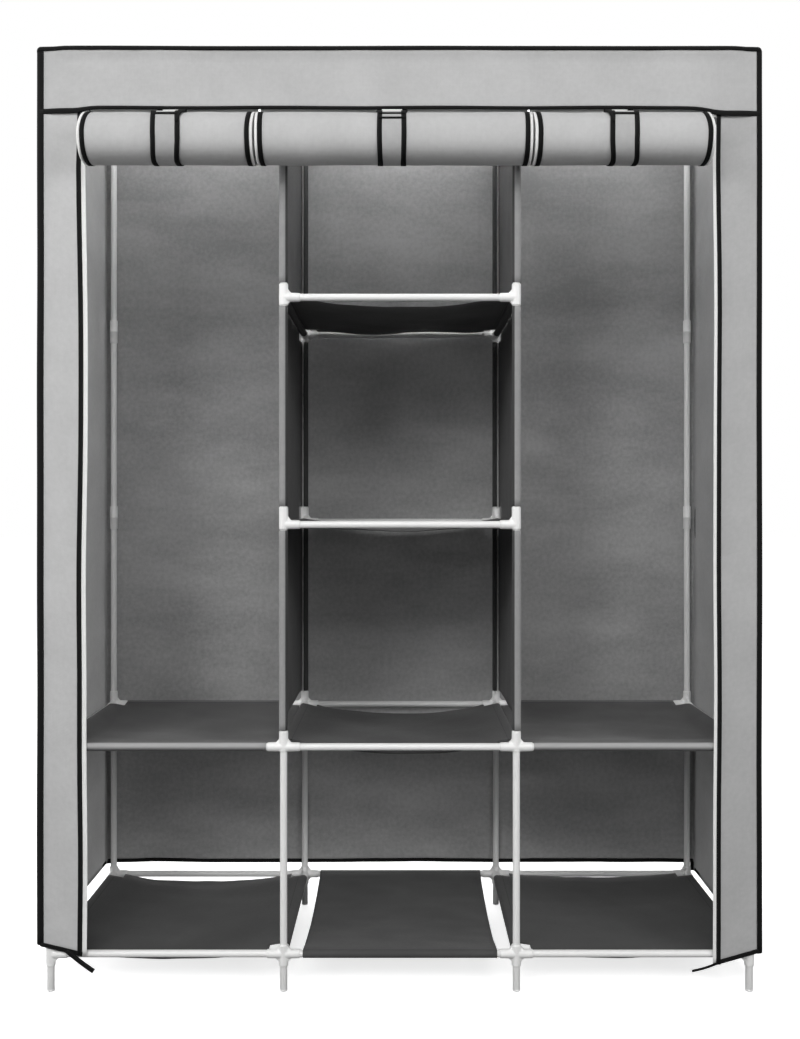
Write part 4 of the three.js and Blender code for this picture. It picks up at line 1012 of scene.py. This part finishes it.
for name, (_, _, middle_x, lean, _) in DOORS.items():
    path, angle = strap_path()
    side = np.sign(lean)
    waist = 0.965 + 0.06 * (np.cos(angle) + 0.15) ** 2 + 0.07 * eased(angle - math.radians(222), math.radians(35))
    drift = -side * (2.8 * MM * eased(angle - math.radians(190), math.radians(60))
                     + 6 * MM * eased(math.radians(165) - angle, 1.2))
    centre_x = middle_x + drift[-1]
    u, offset = np.meshgrid(np.arange(len(path)), np.linspace(-STRAP_WIDTH / 2, STRAP_WIDTH / 2, 9))
    x = middle_x + offset * waist[u] + drift[u]
    strap = cloth(f"{name}_door_strap_cloth", np.stack([x, path[u, 0], path[u, 1]], axis=2), 0.8 * MM, strap_cloth,
                  slot="strap_cloth", node=f"{name}_door_strap")
    tangent = np.gradient(path, axis=0)
    tangent /= np.linalg.norm(tangent, axis=1, keepdims=True)
    out = np.column_stack([0 * waist, -tangent[:, 1], tangent[:, 0]])
    trims = []
    for end, sign in (("left", -1), ("right", 1)):
        at = middle_x + sign * (STRAP_WIDTH / 2 - 4.2 * MM) * waist + drift
        widths = (1 + 0.35 * eased(angle - math.radians(225), math.radians(28))
                  + 0.12 * eased(math.radians(120) - angle, 0.5))
        trims.append(carried(f"{name}_door_strap_{end}_binding", strip_profile(8.8 * MM, 2.2 * MM),
                             np.column_stack([at, path]), (1, 0, 0), out, black_binding, widths=widths,
                             slot="strap_cloth"))
    # The two dark lines below the centre strap's bar: the lower is the strap's bound end, and the upper is black tape
    # standing for the shade under the bar, a painted shadow. On the outer two a single dark line lies below the bar,
    # and the strap's corner hangs free.
    ends = centre_x + np.linspace(-0.5, 0.5, 8) * (STRAP_WIDTH - 6 * MM)
    lines = [("upper", -15, 5.2 * MM)] if side else [("upper", -15, 2.6 * MM), ("lower", -18, 3.4 * MM)]
    for end, k, deep in lines:
        hem = np.column_stack([ends, 0 * ends + path[k, 0], 0 * ends + path[k, 1]]) + out[k] * 1.6 * MM
        trims.append(carried(f"{name}_door_strap_{end}_dark_line", strip_profile(deep, 2.4 * MM), hem,
                             (0, *tangent[k]), out[k], black_binding, slot="strap_cloth"))
    if side:
        t = np.linspace(0, 1, 10)
        r = STRAP_R * (1 - DRAWN_IN) + 3 * MM
        turn = math.radians(246) - math.radians(50) * t
        corner = centre_x + side * (STRAP_WIDTH / 2 + 3 * MM - 6 * MM * t)
        corner = np.column_stack([corner, ROLL_Y + r * np.cos(turn), ROLL_Z - r * np.sin(turn)])
        run = np.gradient(corner, axis=0)
        run /= np.linalg.norm(run, axis=1, keepdims=True)
        away = np.column_stack([0 * t, np.cos(turn), -np.sin(turn)])
        trims.append(carried(f"{name}_door_strap_loose_corner", strip_profile(15 * MM, 2.0 * MM), corner,
                             np.cross(run, away), away, black_binding, widths=1 - 0.8 * t ** 0.7,
                             slot="strap_cloth"))
    for part in [strap, *trims]:
        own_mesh(part)
    reach, radius = (14 * MM, 1.2 * MM) if side else (18 * MM, BAR_R)
    bar = tube((centre_x - reach, *BAR_AT), (centre_x + reach, *BAR_AT), radius, 0.5 * MM)
    tab_xs = [centre_x + s * (reach - 2 * MM) for s in (-1, 1)]
    tabs = [tube((at, *BAR_AT), (at, CURTAIN_Y, TAB_TOP), 1.4 * MM, 0.3 * MM) for at in tab_xs]
    piece(f"{name}_strap_bar", *together(bar, *tabs), moulded_abs, slot="tube")

# Zip sliders
# Small cast zinc sliders in black enamel with a long flat pull, one at the top of each
# outer zip.
black_enamel = hard_skin(
    "black_enamelled_zinc", "232323", "2f2f2f", (4 * MM, 4.0), (4 * MM, 4.0), (0.28, 0.46), 1.5, 0.1)


def swept_oval(rows, widths, heights):
    """An oval strip_profile section carried down the places rows, widths across x and heights across y, with a fan at
    each end. Gives its points and faces."""
    section = strip_profile(1.0, 1.0, 16)
    points = (rows[:, None] + np.array([1, 0, 0]) * (section[None, :, 0] * widths[:, None])[:, :, None]
              + np.array([0, -1, 0]) * (section[None, :, 1] * heights[:, None])[:, :, None])
    k = np.arange(16)
    n = (k + 1) % 16
    last, first_centre = 16 * (len(rows) - 1), 16 * len(rows)
    faces = np.concatenate([grid_faces(len(rows), 16, close_columns=True),
                            np.stack([n, n, k, np.full(16, first_centre)], axis=1),
                            np.stack([last + k, last + k, last + n, np.full(16, first_centre + 1)], axis=1)])
    return np.concatenate([points.reshape(-1, 3), rows[:1], rows[-1:]]), faces


for name, (sign, width, *_) in FLAPS.items():
    x, z = sign * (HALF_WIDTH - width), FLAP_TOP - 24 * MM
    t = np.linspace(-1, 1, 13)
    casting = swept_oval(np.stack([x + 0 * t, FRONT_Y - 2.3 * MM + 0 * t, z + t * 7 * MM], axis=1),
                         10 * MM * (0.62 + 0.38 * np.cos(t * 1.1)), 3.8 * MM * (0.75 + 0.25 * np.cos(t * 1.3)))
    pull = swept_oval(np.stack([x + 0 * t, FRONT_Y - 5.0 * MM + 0 * t, z - MM - (t + 1) / 2 * 29 * MM], axis=1),
                      6 * MM * (0.75 + 0.25 * np.clip((t + 1) * 0.8, 0, 1)) * np.where(np.abs(t) > 0.99, 0.8, 1),
                      np.full(13, 1.2 * MM))
    piece(f"{name}_zip_slider_casting", *together(casting, pull), black_enamel, body=f"{name}_slider", slot="slider",
          node=f"{name}_zip_slider")
